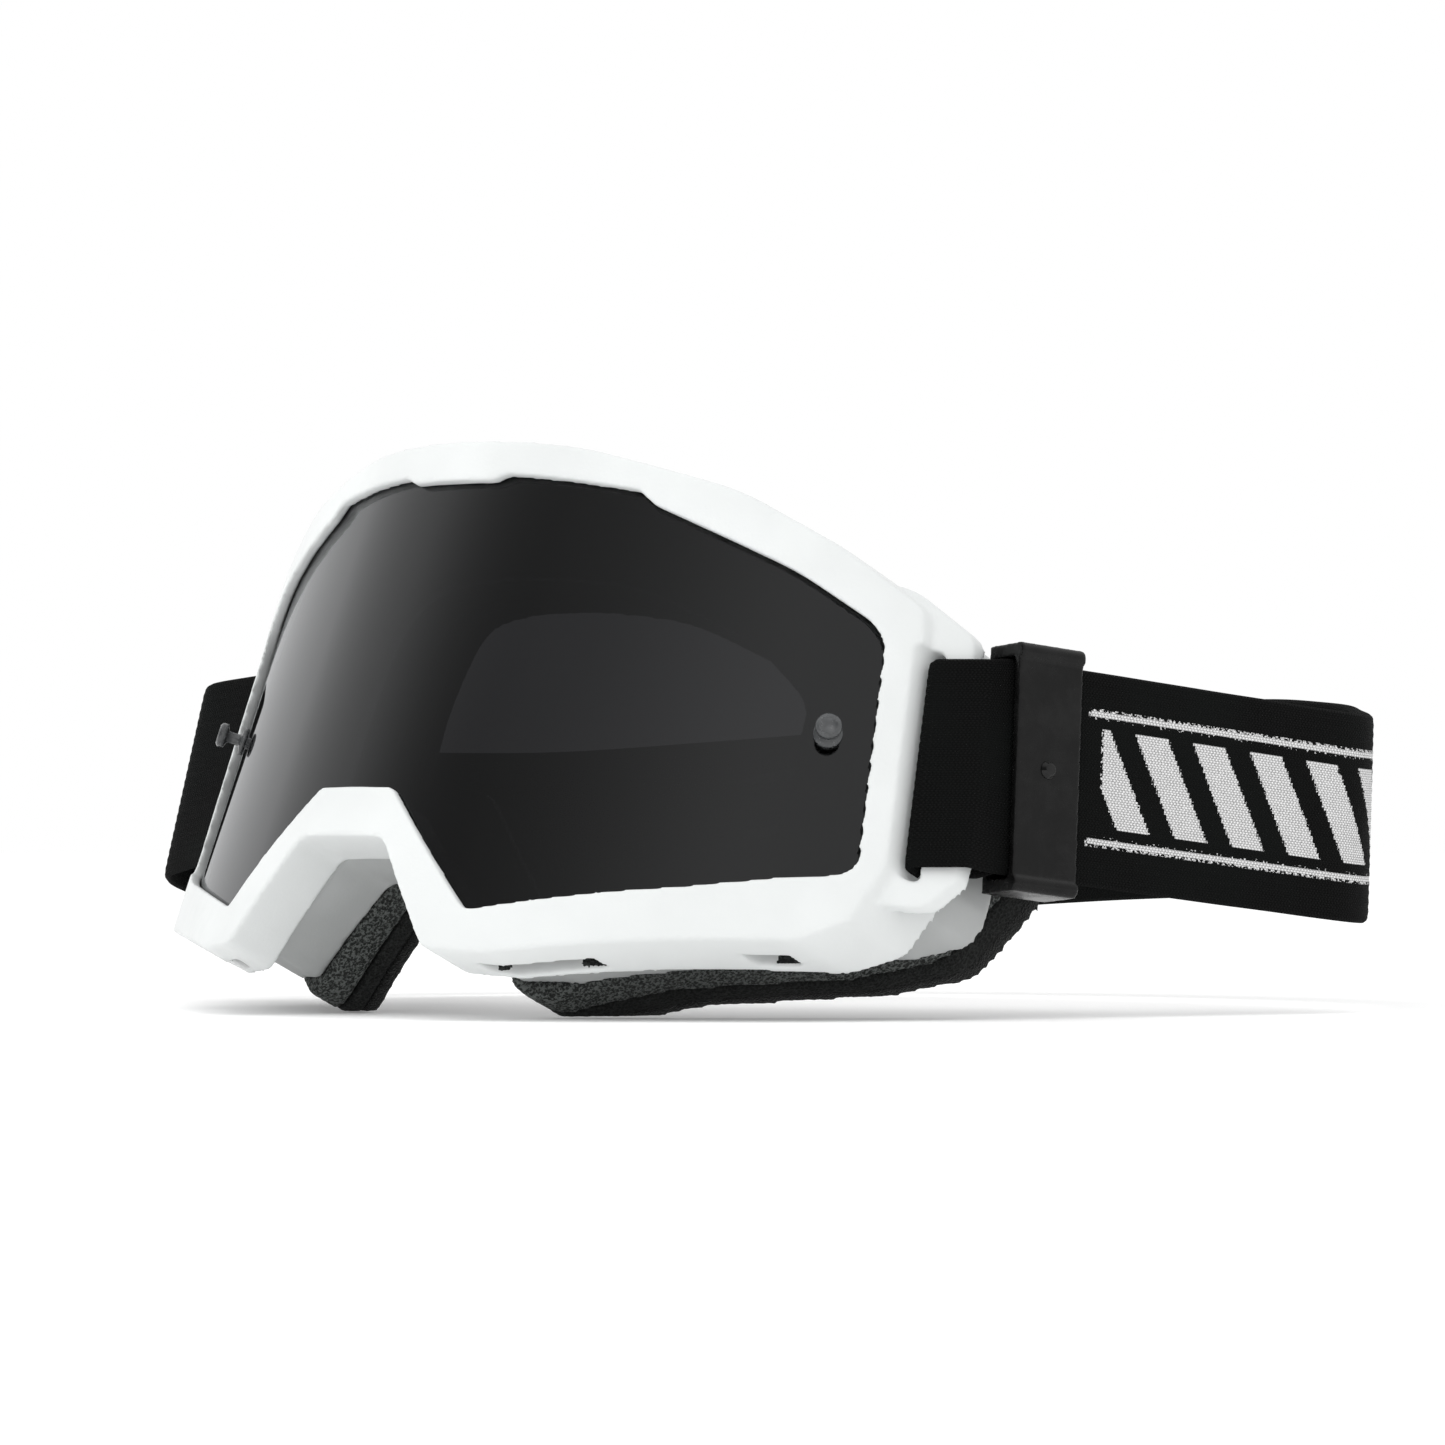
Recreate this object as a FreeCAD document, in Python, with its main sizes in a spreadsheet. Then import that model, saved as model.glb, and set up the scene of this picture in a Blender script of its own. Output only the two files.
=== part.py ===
"""Motorcycle goggles: wrapped frame, smoke lens, face foams, and a strap with a sliding keeper.

The goggles are drawn upright: X across the face, Y from the lens back to the head, Z up,
with the middle of the lens's front face at the origin. Every wrapped piece is a band bent
along an arc profile in plan and trimmed to an outline seen from the front. The placement
then leans the goggles back until they rest on the cheek foam. The strap is drawn in the
resting frame, because it hangs from the frame's two outriggers.
"""
import FreeCAD, Part
import Sketcher
import math
import os

V = FreeCAD.Vector
doc = FreeCAD.newDocument("Goggles")

# ---------------------------------------------------------------- driving dimensions
SIZES = [
    # lens and frame, upright frame, millimetres
    ("lens_half_width", 82.8, "half width of the visible lens at its lower corner"),
    ("lens_top", 31.8, "height of the visible lens above the origin"),
    ("lens_drop", 49.8, "depth of the visible lens below the origin"),
    ("lens_radius_mid", 72.0, "radius of the lens across the nose"),
    ("lens_radius_side", 160.0, "radius of the lens at the temples"),
    ("lens_mid_angle", 21.8, "degrees each side that the middle radius covers"),
    ("lens_thick", 1.2, "polycarbonate sheet"),
    ("lens_overlap", 1.9, "how far the lens edge goes into the frame's groove"),
    ("groove_play", 0.1, "gap on each side of the lens in the groove"),
    ("rim_proud", 2.2, "rim's front ahead of the lens"),
    ("rim_back", 9.0, "rim's back edge behind the lens's front"),
    ("lip_back", 3.0, "back of the outrigger plate and rear lip of the groove"),
    ("rim_wall_step", 1.0, "inner wall of the rim outside the visible lens edge"),
    ("bar_front", -0.2, "front of the outrigger's bar behind the lens surface"),
    ("bar_back", 2.3, "back of the outrigger's bar behind the lens surface"),
    ("skirt_wall", 2.6, "side wall of the skirt"),
    ("skirt_inset", 0.8, "skirt's outside, inside the rim's outside"),
    ("flange_thick", 2.5, "flange that carries the foam"),
    ("vent_front", 3.6, "front of the rim's vent windows behind the lens's front"),
    ("vent_back", 7.2, "back of the vent windows"),
    ("mesh_thick", 2.0, "filter foam inside the rim's wall"),
    # face profile
    ("face_depth", 36.0, "back of the foam on the centre line"),
    ("face_radius_mid", 56.0, "forehead radius of the foam's back"),
    ("face_radius_side", 400.0, "temple radius of the foam's back"),
    ("face_mid_angle", 37.0, "degrees each side that the forehead radius covers"),
    ("foam_base_thick", 7.0, "firm foam layer on the flange"),
    ("foam_mid_thick", 4.0, "soft foam layer"),
    ("foam_fleece_thick", 3.0, "fleece against the face"),
    ("face_half_width", 57.0, "half width of the face opening"),
    # posts
    ("post_inset", 9.6, "tear-off post inside the lens's half width"),
    ("post_z", -4.0, "tear-off post, height"),
    ("post_head_dia", 4.7, "head that holds the tear-off film"),
    ("post_neck_dia", 2.2, "neck that the film's hole buttons over"),
    ("post_foot_dia", 5.2, "flange that stands on the lens"),
    ("post_shank_dia", 2.6, "shank through the lens"),
    ("post_clip_dia", 4.4, "clip behind the lens"),
    ("post_height", 5.4, "post above the lens"),
    # strap
    ("strap_width", 38.0, "elastic webbing"),
    ("strap_thick", 1.6, "elastic webbing"),
    ("tail_run", 66.0, "sewn tail behind the outrigger"),
    ("tail_narrower", 4.0, "folded end, narrower than the strap that covers it"),
    ("strap_rise", 3.6, "strap climbs as it leaves the outrigger"),
    ("strap_play", 0.35, "strap clear of the outrigger's bar"),
    ("slot_play", 1.0, "outrigger's slot wider than the strap is thick"),
    ("slot_end_play", 1.5, "outrigger's slot beyond each edge of the strap"),
    ("outrigger_wall", 4.6, "outrigger's plate above and below its slot"),
    ("layer_gap", 0.2, "between the strap and its tail"),
    ("tack_width", 3.0, "stitched bar tack along the strap"),
    ("tack_thick", 0.5, "height of the bar tack"),
    ("bead_pitch", 11.0, "between grip beads"),
    ("bead_width", 2.0, "silicone grip bead"),
    ("bead_thick", 0.5, "silicone grip bead"),
    # keeper
    ("keeper_start", 6.0, "keeper's front edge behind the outrigger's end"),
    ("keeper_length", 14.0, "along the strap"),
    ("keeper_cap", 2.8, "keeper beyond each edge of the strap"),
    ("keeper_wall", 1.5, "sleeve wall"),
    ("keeper_play", 0.45, "gap round the strap"),
    ("keeper_back_play", 2.0, "gap behind the strap's tail"),
    ("keeper_bead", 3.0, "rolled band at top and bottom"),
    ("stud_dia", 3.4, "rivet in the keeper"),
    # resting pose
    ("lean", 23.55, "degrees that the goggles lean back at rest"),
    ("stand_height", 66.5, "origin of the upright frame above the surface"),
    ("shift_y", -85.5, "moves the box's centre to the origin"),
    ("reach", 200.0, "working length of the construction solids"),
]
sheet = doc.addObject("Spreadsheet::Sheet", "Sizes")
for row, (alias, value, note) in enumerate(SIZES, start=1):
    sheet.set(f"A{row}", note)
    sheet.set(f"B{row}", str(value))
    sheet.setAlias(f"B{row}", alias)
doc.recompute()
D = {alias: float(sheet.get(alias)) for alias, _, _ in SIZES}

LEAN = math.radians(D["lean"])
UPRIGHT = FreeCAD.Placement(V(0, D["shift_y"], D["stand_height"]),
                            FreeCAD.Rotation(V(1, 0, 0), -D["lean"]))
NODES = []          # the finished sub-parts, in order


def leaned(p):
    """A point of the upright frame in the resting frame."""
    return UPRIGHT.multVec(p)


# ---------------------------------------------------------------- plan profiles
def arc_profile(r_mid, angle, r_side, depth):
    """Centre, radius pairs of a plan profile whose front is at y = depth."""
    a = math.radians(angle)
    side = V((r_mid - r_side) * math.sin(a), depth + r_mid + (r_side - r_mid) * math.cos(a), 0)
    return {"mid": (V(0, depth + r_mid, 0), r_mid), "side": (side, r_side), "angle": a}


LENS = arc_profile(D["lens_radius_mid"], D["lens_mid_angle"], D["lens_radius_side"], 0.0)
FACE = arc_profile(D["face_radius_mid"], D["face_mid_angle"], D["face_radius_side"],
                   D["face_depth"])


def on_profile(profile, x, back=0.0):
    """Point, outward normal and tangent of the profile at x, moved back along the normal."""
    sign = -1.0 if x < 0 else 1.0
    x = abs(x)
    (cm, rm), (cs, rs), a = profile["mid"], profile["side"], profile["angle"]
    centre, radius = (cm, rm) if x <= rm * math.sin(a) else (cs, rs)
    angle = math.asin((x - centre.x) / radius)
    normal = V(math.sin(angle), -math.cos(angle), 0)
    point = V(centre.x, centre.y, 0) + normal * (radius - back)
    return (V(sign * point.x, point.y, 0), V(sign * normal.x, normal.y, 0),
            V(math.cos(angle), sign * math.sin(angle), 0))


def profile_edges(profile, back, x_end):
    """Arcs of the profile, offset back along its normal, from -x_end to x_end."""
    (cm, rm), (cs, rs), a = profile["mid"], profile["side"], profile["angle"]
    rm, rs = rm - back, rs - back
    end = math.asin(min(0.999, (x_end - cs.x) / rs))
    down = -math.pi / 2
    mid = Part.ArcOfCircle(Part.Circle(cm, V(0, 0, 1), rm), down - a, down + a)
    right = Part.ArcOfCircle(Part.Circle(cs, V(0, 0, 1), rs), down + a, down + end)
    cl = V(-cs.x, cs.y, 0)
    left = Part.ArcOfCircle(Part.Circle(cl, V(0, 0, 1), rs), down - end, down - a)
    return [left, mid, right], [rs, rm, rs]


# ---------------------------------------------------------------- outlines seen from the front
# Right halves, from the top centre round to the bottom centre: (x, z, corner radius).
# Each is drawn for the reference size and scaled by the lens sizes in the sheet.
REF_WIDTH, REF_TOP, REF_DROP = 82.8, 31.8, 49.8
LENS_EDGE = [(9.4, 30.4, 1.2), (12.6, 31.8, 1.2), (37.2, 31.8, 1.5), (40.4, 29.6, 2.0),
             (64.0, 23.1, 40.0), (78.0, 16.4, 7.0), (82.8, -27.4, 4.5), (62.0, -37.4, 30.0),
             (29.4, -49.8, 2.2), (8.8, -29.1, 2.0)]
RIM_EDGE = [(26.0, 38.2, 60.0), (53.0, 35.4, 30.0), (70.0, 29.2, 25.0), (82.0, 22.2, 3.0),
            (83.0, 16.0, 2.0), (86.0, -25.0, 4.0), (83.6, -36.0, 4.0), (78.0, -42.0, 8.0),
            (53.0, -50.6, 40.0), (34.5, -57.0, 3.0), (24.2, -58.0, 3.0), (10.0, -38.5, 3.5)]
SKIRT_EDGE = [(26.0, 38.2, 60.0), (53.0, 35.4, 30.0), (70.0, 29.2, 25.0), (82.0, 22.2, 3.0),
              (83.0, 16.0, 2.0), (86.0, -22.0, 4.0), (84.6, -28.4, 5.0), (78.0, -33.6, 8.0),
              (53.0, -44.6, 40.0), (35.5, -53.2, 4.0), (25.2, -55.2, 3.0), (10.0, -38.5, 3.5)]
FACE_EDGE = [(26.0, 21.5, 40.0), (46.0, 15.5, 14.0), (56.0, 7.0, 8.0), (57.0, -18.0, 10.0),
             (49.0, -33.0, 9.0), (29.0, -43.0, 7.0), (9.0, -20.0, 8.0)]
FOAM_EDGE = [(26.0, 35.0, 50.0), (53.0, 32.0, 30.0), (70.0, 24.5, 20.0), (80.0, 14.0, 10.0),
             (82.5, -12.0, 16.0), (77.0, -29.5, 10.0), (66.0, -37.6, 12.0), (44.0, -47.6, 30.0),
             (26.0, -58.5, 6.0), (9.5, -36.0, 4.0)]


def scaled(points):
    """Outline points at the sheet's lens sizes."""
    out = []
    for x, z, r in points:
        kz = D["lens_top"] / REF_TOP if z > 0 else D["lens_drop"] / REF_DROP
        out.append((x * D["lens_half_width"] / REF_WIDTH, z * kz, r))
    return out


KX = D["lens_half_width"] / REF_WIDTH       # widths that follow the lens


def outrigger_edges():
    """The right outrigger's plate and its slanted slot, which fit the strap's section."""
    half_slot = D["strap_width"] / 2 + D["slot_end_play"]
    half_wide = (D["strap_thick"] + D["slot_play"]) / 2
    middle, slant = V(85.3 * KX, -4.5, 0), 0.1024
    top, bottom = middle.y + half_slot, middle.y - half_slot
    x_top, x_bottom = middle.x - slant * half_slot, middle.x + slant * half_slot
    slot = [(x_top - half_wide, top, 0.8), (x_top + half_wide, top, 0.8),
            (x_bottom + half_wide, bottom, 0.8), (x_bottom - half_wide, bottom, 0.8)]
    high, low = top + D["outrigger_wall"], bottom - D["outrigger_wall"]
    plate = [(x_top - 7.2, high + 7.0, 12.0), (x_top + 4.1, high, 3.0),
             (x_bottom + 5.5, low + 7.6, 4.0), (x_bottom + 2.6, low + 0.1, 4.0),
             (x_bottom - 9.4, low - 3.4, 1.0), (x_top - 13.2, high - 0.6, 1.0)]
    return plate, slot


def mirrored(half):
    """Closed, symmetric outline from a right half."""
    return half + [(-x, z, r) for x, z, r in reversed(half)]


def grown(outline, distance):
    """The clockwise outline moved outwards by distance, corner by corner."""
    out = []
    count = len(outline)
    for i, (x, z, r) in enumerate(outline):
        p, c, n = (V(*outline[(i + k) % count][:2], 0) for k in (-1, 0, 1))
        d1, d2 = (c - p).normalize(), (n - c).normalize()
        n1, n2 = V(-d1.y, d1.x, 0), V(-d2.y, d2.x, 0)
        miter = (n1 + n2) * (distance / (1.0 + n1.dot(n2)))
        turn = d1.cross(d2).z            # negative on the outline's convex corners
        radius = r + distance if turn < 0 else max(0.3, r - distance)
        out.append((x + miter.x, z + miter.y, max(0.3, radius)))
    return out


def outline_geometry(outline):
    """Line and arc geometry of a closed outline with rounded corners."""
    count = len(outline)
    corners = []
    for i in range(count):
        p, c, n = (V(*outline[(i + k) % count][:2], 0) for k in (-1, 0, 1))
        radius = outline[i][2]
        d1, d2 = (c - p).normalize(), (n - c).normalize()
        turn = math.acos(max(-1.0, min(1.0, d1.dot(d2))))
        room = 0.48 * min((c - p).Length, (n - c).Length)
        cut = min(radius * math.tan(turn / 2), room)
        start, end = c - d1 * cut, c + d2 * cut
        middle = c + (d2 - d1).normalize() * (cut * math.tan(turn / 2)
                                               / (1 + 1 / math.cos(turn / 2)))
        corners.append((start, middle, end))
    geometry = []
    for i, (start, middle, end) in enumerate(corners):
        geometry.append(Part.Arc(start, middle, end))
        geometry.append(Part.LineSegment(end, corners[(i + 1) % count][0]))
    return geometry


# ---------------------------------------------------------------- sketches and features
def plane(body, role):
    return next(o for o in body.Origin.OriginFeatures if o.Role == role)


def new_body(name):
    body = doc.addObject("PartDesign::Body", name)
    body.Label = name
    return body


def new_sketch(body, name, role):
    sketch = body.newObject("Sketcher::SketchObject", name)
    sketch.AttachmentSupport = [(plane(body, role), "")]
    sketch.MapMode = "FlatFace"
    return sketch


def join_ends(sketch, first, count):
    """Coincident ends round a closed run of geometry."""
    for i in range(count):
        j = first + (i + 1) % count
        sketch.addConstraint(Sketcher.Constraint("Coincident", first + i, 2, j, 1))


def draw_outline(sketch, outline):
    geometry = outline_geometry(outline)
    first = sketch.GeometryCount
    for g in geometry:
        sketch.addGeometry(g, False)
    for i in range(len(geometry)):
        a, b = geometry[i], geometry[(i + 1) % len(geometry)]
        end = a.EndPoint
        p1 = 2 if sketch.getPoint(first + i, 2).distanceToPoint(end) < 1e-6 else 1
        j = first + (i + 1) % len(geometry)
        p2 = 1 if sketch.getPoint(j, 1).distanceToPoint(end) < 1e-6 else 2
        sketch.addConstraint(Sketcher.Constraint("Coincident", first + i, p1, j, p2))


def plan_band(body, name, front, back, x_end, front_cells=None, back_cells=None):
    """Pad of the plan band between two profile offsets; its radii follow the sheet."""
    sketch = new_sketch(body, name + "_plan", "XY_Plane")
    (fp, fo), (bp, bo) = front, back
    fe, _ = profile_edges(fp, fo, x_end)
    be, _ = profile_edges(bp, bo, x_end)
    for g in fe + be:
        sketch.addGeometry(g, False)
    fl, fr = fe[0].value(fe[0].FirstParameter), fe[2].value(fe[2].LastParameter)
    bl, br = be[0].value(be[0].FirstParameter), be[2].value(be[2].LastParameter)
    sketch.addGeometry(Part.LineSegment(fr, br), False)
    sketch.addGeometry(Part.LineSegment(bl, fl), False)
    for a, pa, b, pb in ((0, 2, 1, 1), (1, 2, 2, 1), (3, 2, 4, 1), (4, 2, 5, 1),
                         (2, 2, 6, 1), (5, 2, 6, 2), (3, 1, 7, 1), (0, 1, 7, 2)):
        sketch.addConstraint(Sketcher.Constraint("Coincident", a, pa, b, pb))
    for cells, geometry in ((front_cells, (1, 0, 2)), (back_cells, (4, 3, 5))):
        if not cells:
            continue
        for k, index in enumerate(geometry):
            word = f"radius_{index}"
            value = sketch.Geometry[index].Radius
            number = sketch.addConstraint(Sketcher.Constraint("Radius", index, value))
            sketch.renameConstraint(number, word)
            sketch.setExpression(f"Constraints.{word}", cells[0 if k == 0 else 1])
    pad = body.newObject("PartDesign::Pad", name + "_pad")
    pad.Profile = sketch
    pad.Midplane = True
    pad.setExpression("Length", "Sizes.reach")
    return pad


def trim_outside(body, name, outline):
    """Cut away everything outside an outline seen from the front."""
    sketch = new_sketch(body, name, "XZ_Plane")
    far = D["reach"]
    box = [V(-far, -far, 0), V(far, -far, 0), V(far, far, 0), V(-far, far, 0)]
    for i in range(4):
        sketch.addGeometry(Part.LineSegment(box[i], box[(i + 1) % 4]), False)
    join_ends(sketch, 0, 4)
    draw_outline(sketch, outline)
    return through_pocket(body, name, sketch)


def open_inside(body, name, outline):
    """Cut an opening through from front to back."""
    sketch = new_sketch(body, name, "XZ_Plane")
    draw_outline(sketch, outline)
    return through_pocket(body, name, sketch)


def through_pocket(body, name, sketch):
    pocket = body.newObject("PartDesign::Pocket", name + "_pocket")
    pocket.Profile = sketch
    pocket.Type = "ThroughAll"
    pocket.Midplane = True
    return pocket


def lens_cells(back):
    return (f"Sizes.lens_radius_mid - ({back})", f"Sizes.lens_radius_side - ({back})")


def face_cells(ahead):
    return (f"Sizes.face_radius_mid + ({ahead})", f"Sizes.face_radius_side + ({ahead})")


def wrapped(name, front, back, outer, inner=None, x_end=96.0, cells=(None, None)):
    """A body: a plan band trimmed to an outline, with an optional opening."""
    body = new_body(name)
    plan_band(body, name, front, back, x_end * KX, *cells)
    trim_outside(body, name + "_outside", outer)
    if inner:
        open_inside(body, name + "_inside", inner)
    return body


def finish(obj, name, placement=None):
    obj.Label = name
    if placement is not None:
        obj.Placement = placement
    NODES.append((name, obj))
    return obj


def tool_of(name, kind, **links):
    obj = doc.addObject(kind, name)
    for key, value in links.items():
        setattr(obj, key, value)
    return obj


lens_edge = mirrored(scaled(LENS_EDGE))
rim_edge = mirrored(scaled(RIM_EDGE))
face_edge = [(x * D["face_half_width"] / 57.0, z, r) for x, z, r in mirrored(scaled(FACE_EDGE))]
foam_edge = mirrored(scaled(FOAM_EDGE))
outrigger, slot = {}, {}
outrigger[1], slot[1] = outrigger_edges()
outrigger[-1] = [(-x, z, r) for x, z, r in reversed(outrigger[1])]
slot[-1] = [(-x, z, r) for x, z, r in reversed(slot[1])]

# ---------------------------------------------------------------- frame rim
rim_core = wrapped("rim_core", (LENS, -D["rim_proud"]), (LENS, D["rim_back"]), rim_edge, lens_edge,
                   cells=(lens_cells("-Sizes.rim_proud"), lens_cells("Sizes.rim_back")))
plates = [wrapped(f"outrigger_{n}", (LENS, D["bar_front"]), (LENS, D["bar_back"]), outrigger[s],
                  cells=(lens_cells("Sizes.bar_front"), lens_cells("Sizes.bar_back")))
          for n, s in (("right", 1), ("left", -1))]
rim_solid = tool_of("rim_solid", "Part::MultiFuse", Shapes=[rim_core] + plates)

groove = wrapped("groove", (LENS, -D["groove_play"]), (LENS, D["lens_thick"] + D["groove_play"]),
                 grown(lens_edge, D["lens_overlap"] + D["groove_play"]))
recess = wrapped("rim_recess", (LENS, D["lip_back"]), (LENS, D["rim_back"] + 5.0),
                 grown(lens_edge, D["rim_wall_step"]))
window = wrapped("lens_window", (LENS, -8.0), (LENS, 16.0), lens_edge)
slots = []
for n, s in (("right", 1), ("left", -1)):
    cutter = wrapped(f"slot_{n}", (LENS, -8.0), (LENS, 20.0), slot[s])
    slots.append(cutter)


def vent(name, x_from, x_to, upward):
    """A window through the rim's top or bottom wall, between the two vent depths."""
    body = new_body(name)
    sketch = new_sketch(body, name + "_plan", "XY_Plane")
    f1, f2 = (on_profile(LENS, x, D["vent_front"])[0] for x in (x_from, x_to))
    b1, b2 = (on_profile(LENS, x, D["vent_back"])[0] for x in (x_from, x_to))
    lead = (f2 - f1).normalize() * 3.0
    corners = [f1, f2 - lead, b2, b1 + lead]
    for i in range(4):
        sketch.addGeometry(Part.LineSegment(corners[i], corners[(i + 1) % 4]), False)
    join_ends(sketch, 0, 4)
    pad = body.newObject("PartDesign::Pad", name + "_pad")
    pad.Profile = sketch
    pad.Length = 80.0
    pad.Reversed = not upward
    return body


vents = []
for s, n in ((1, "right"), (-1, "left")):
    for k, (x1, x2, up) in enumerate(((31.0, 52.0, False), (70.0, 78.5, False),
                                      (7.0, 27.0, True), (32.0, 50.0, True))):
        vents.append(vent(f"vent_{n}_{k}", s * x1 * KX, s * x2 * KX, up))
rim_tools = tool_of("rim_tools", "Part::MultiFuse",
                    Shapes=[groove, recess, window] + slots + vents)
frame_rim = tool_of("frame_rim", "Part::Cut", Base=rim_solid, Tool=rim_tools)
finish(frame_rim, "frame_rim", UPRIGHT)

# ---------------------------------------------------------------- lens
lens_blank = wrapped("lens_blank", (LENS, 0.0), (LENS, D["lens_thick"]),
                     grown(lens_edge, D["lens_overlap"]),
                     cells=(lens_cells("0"), lens_cells("Sizes.lens_thick")))


def post_frame(side):
    """Placement of a tear-off post: its own Z points out of the lens."""
    point, normal, _ = on_profile(LENS, side * (D["lens_half_width"] - D["post_inset"]))
    rotation = FreeCAD.Rotation(V(0, 0, 1), normal)
    return FreeCAD.Placement(point + V(0, 0, D["post_z"]), rotation)


holes = []
for n, s in (("right", 1), ("left", -1)):
    hole = doc.addObject("Part::Cylinder", f"post_hole_{n}")
    hole.setExpression("Radius", "Sizes.post_shank_dia / 2 + 0.1")
    hole.Height = 12.0
    hole.Placement = post_frame(s).multiply(FreeCAD.Placement(V(0, 0, -6.0), FreeCAD.Rotation()))
    holes.append(hole)
lens_holes = tool_of("lens_holes", "Part::MultiFuse", Shapes=holes)
lens = tool_of("lens", "Part::Cut", Base=lens_blank, Tool=lens_holes)
finish(lens, "lens", UPRIGHT)

# ---------------------------------------------------------------- tear-off posts and their clips
for n, s in (("right", 1), ("left", -1)):
    body = new_body(f"tear_off_post_{n}")
    sketch = new_sketch(body, f"post_{n}_section", "XZ_Plane")
    head, neck, foot, shank = (D[f"post_{k}_dia"] / 2 for k in ("head", "neck", "foot", "shank"))
    high, thick = D["post_height"], D["lens_thick"]
    corners = [(0, -thick - 0.8), (shank, -thick - 0.8), (shank, 0.02), (foot, 0.02),
               (foot, 0.9), (neck, 1.3), (neck, high - 1.9), (head, high - 1.5),
               (head, high - 0.5), (head - 0.6, high), (0, high)]
    for i in range(len(corners)):
        a, b = corners[i], corners[(i + 1) % len(corners)]
        sketch.addGeometry(Part.LineSegment(V(*a, 0), V(*b, 0)), False)
    join_ends(sketch, 0, len(corners))
    turned = body.newObject("PartDesign::Revolution", f"post_{n}_turned")
    turned.Profile = sketch
    turned.ReferenceAxis = (sketch, ["V_Axis"])
    turned.Angle = 360
    body.Placement = UPRIGHT.multiply(post_frame(s))
    finish(body, f"tear_off_post_{n}")

    ring = doc.addObject("Part::Cylinder", f"clip_ring_{n}")
    ring.setExpression("Radius", "Sizes.post_clip_dia / 2")
    ring.Height = 0.8
    bore = doc.addObject("Part::Cylinder", f"clip_bore_{n}")
    bore.setExpression("Radius", "Sizes.post_shank_dia / 2")
    bore.Height = 0.8
    clip = tool_of(f"post_clip_{n}", "Part::Cut", Base=ring, Tool=bore)
    seat = FreeCAD.Placement(V(0, 0, -thick - 0.85), FreeCAD.Rotation())
    finish(clip, f"post_clip_{n}", UPRIGHT.multiply(post_frame(s)).multiply(seat))

# ---------------------------------------------------------------- skirt and filter foam
foam_total = D["foam_base_thick"] + D["foam_mid_thick"] + D["foam_fleece_thick"]
skirt_edge = grown(mirrored(scaled(SKIRT_EDGE)), -D["skirt_inset"])
skirt_inner = grown(skirt_edge, -D["skirt_wall"])
skirt_solid = wrapped("skirt_solid", (LENS, D["rim_back"]), (FACE, -foam_total), skirt_edge,
                      face_edge, x_end=90.0,
                      cells=(lens_cells("Sizes.rim_back"), None))
skirt_room = wrapped("skirt_room", (LENS, D["rim_back"] - 6.0),
                     (FACE, -foam_total - D["flange_thick"]), skirt_inner, x_end=90.0)


skirt = tool_of("face_skirt", "Part::Cut", Base=skirt_solid, Tool=skirt_room)
finish(skirt, "face_skirt", UPRIGHT)

rim_wall = grown(lens_edge, D["rim_wall_step"])
mesh_ring = wrapped("mesh_ring", (LENS, D["lip_back"] + 0.1), (LENS, D["vent_back"] + 1.4),
                    grown(rim_wall, -0.05), grown(rim_wall, -D["mesh_thick"]), x_end=90.0)
for name, box in (("vent_mesh_top", (-58.0, 58.0, 14.0, 60.0)),
                  ("vent_mesh_bottom_right", (29.0, 79.5, -70.0, -26.0)),
                  ("vent_mesh_bottom_left", (-79.5, -29.0, -70.0, -26.0))):
    block = doc.addObject("Part::Box", name + "_block")
    block.Length, block.Width, block.Height = (box[1] - box[0]) * KX, D["reach"], box[3] - box[2]
    block.Placement = FreeCAD.Placement(V(box[0] * KX, -20.0, box[2]), FreeCAD.Rotation())
    mesh = tool_of(name, "Part::MultiCommon", Shapes=[mesh_ring, block])
    finish(mesh, name, UPRIGHT)

# ---------------------------------------------------------------- face foams
# The goggles' weight presses the foam flat where it stands, so the foams end at the ground.
ground = doc.addObject("Part::Box", "ground")
ground.Length, ground.Width, ground.Height = 2 * D["reach"], 2 * D["reach"], 40.0
ground.Placement = FreeCAD.Placement(V(-D["reach"], -D["reach"], -40.0), FreeCAD.Rotation())
depth = foam_total
for name, cell, edge_grow in (("foam_base", "foam_base_thick", 0.0),
                              ("foam_mid", "foam_mid_thick", 0.0),
                              ("foam_fleece", "foam_fleece_thick", -0.6)):
    nearer = depth - D[cell]
    block = wrapped(name + "_block", (FACE, -depth), (FACE, -nearer),
                    grown(foam_edge, edge_grow), face_edge, x_end=90.0)
    block.Placement = UPRIGHT
    finish(tool_of(name, "Part::Cut", Base=block, Tool=ground), name)
    depth = nearer

# ---------------------------------------------------------------- strap
def frames(stations):
    """Centre, tangent, width direction and outward normal at each station."""
    out = []
    for i, (c, w) in enumerate(stations):
        before = stations[max(0, i - 1)][0]
        after = stations[min(len(stations) - 1, i + 1)][0]
        tangent = (after - before).normalize()
        across = tangent.cross(w).normalize()
        out.append((c, tangent, V(w).normalize(), across))
    return out


def ribbon(name, stations, width, thick, rise=0.0, outward=0.0):
    """Closed solid lofted through rectangles that stand across the stations' path."""
    wires = []
    for c, _, w, n in frames(stations):
        c = c + w * rise + n * outward
        half_w, half_t = w * (width / 2), n * (thick / 2)
        corners = [c + half_w + half_t, c + half_w - half_t,
                   c - half_w - half_t, c - half_w + half_t]
        wires.append(Part.makePolygon(corners + corners[:1]))
    feature = doc.addObject("Part::Feature", name)
    feature.Shape = Part.makeLoft(wires, True, True)
    return feature


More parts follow.
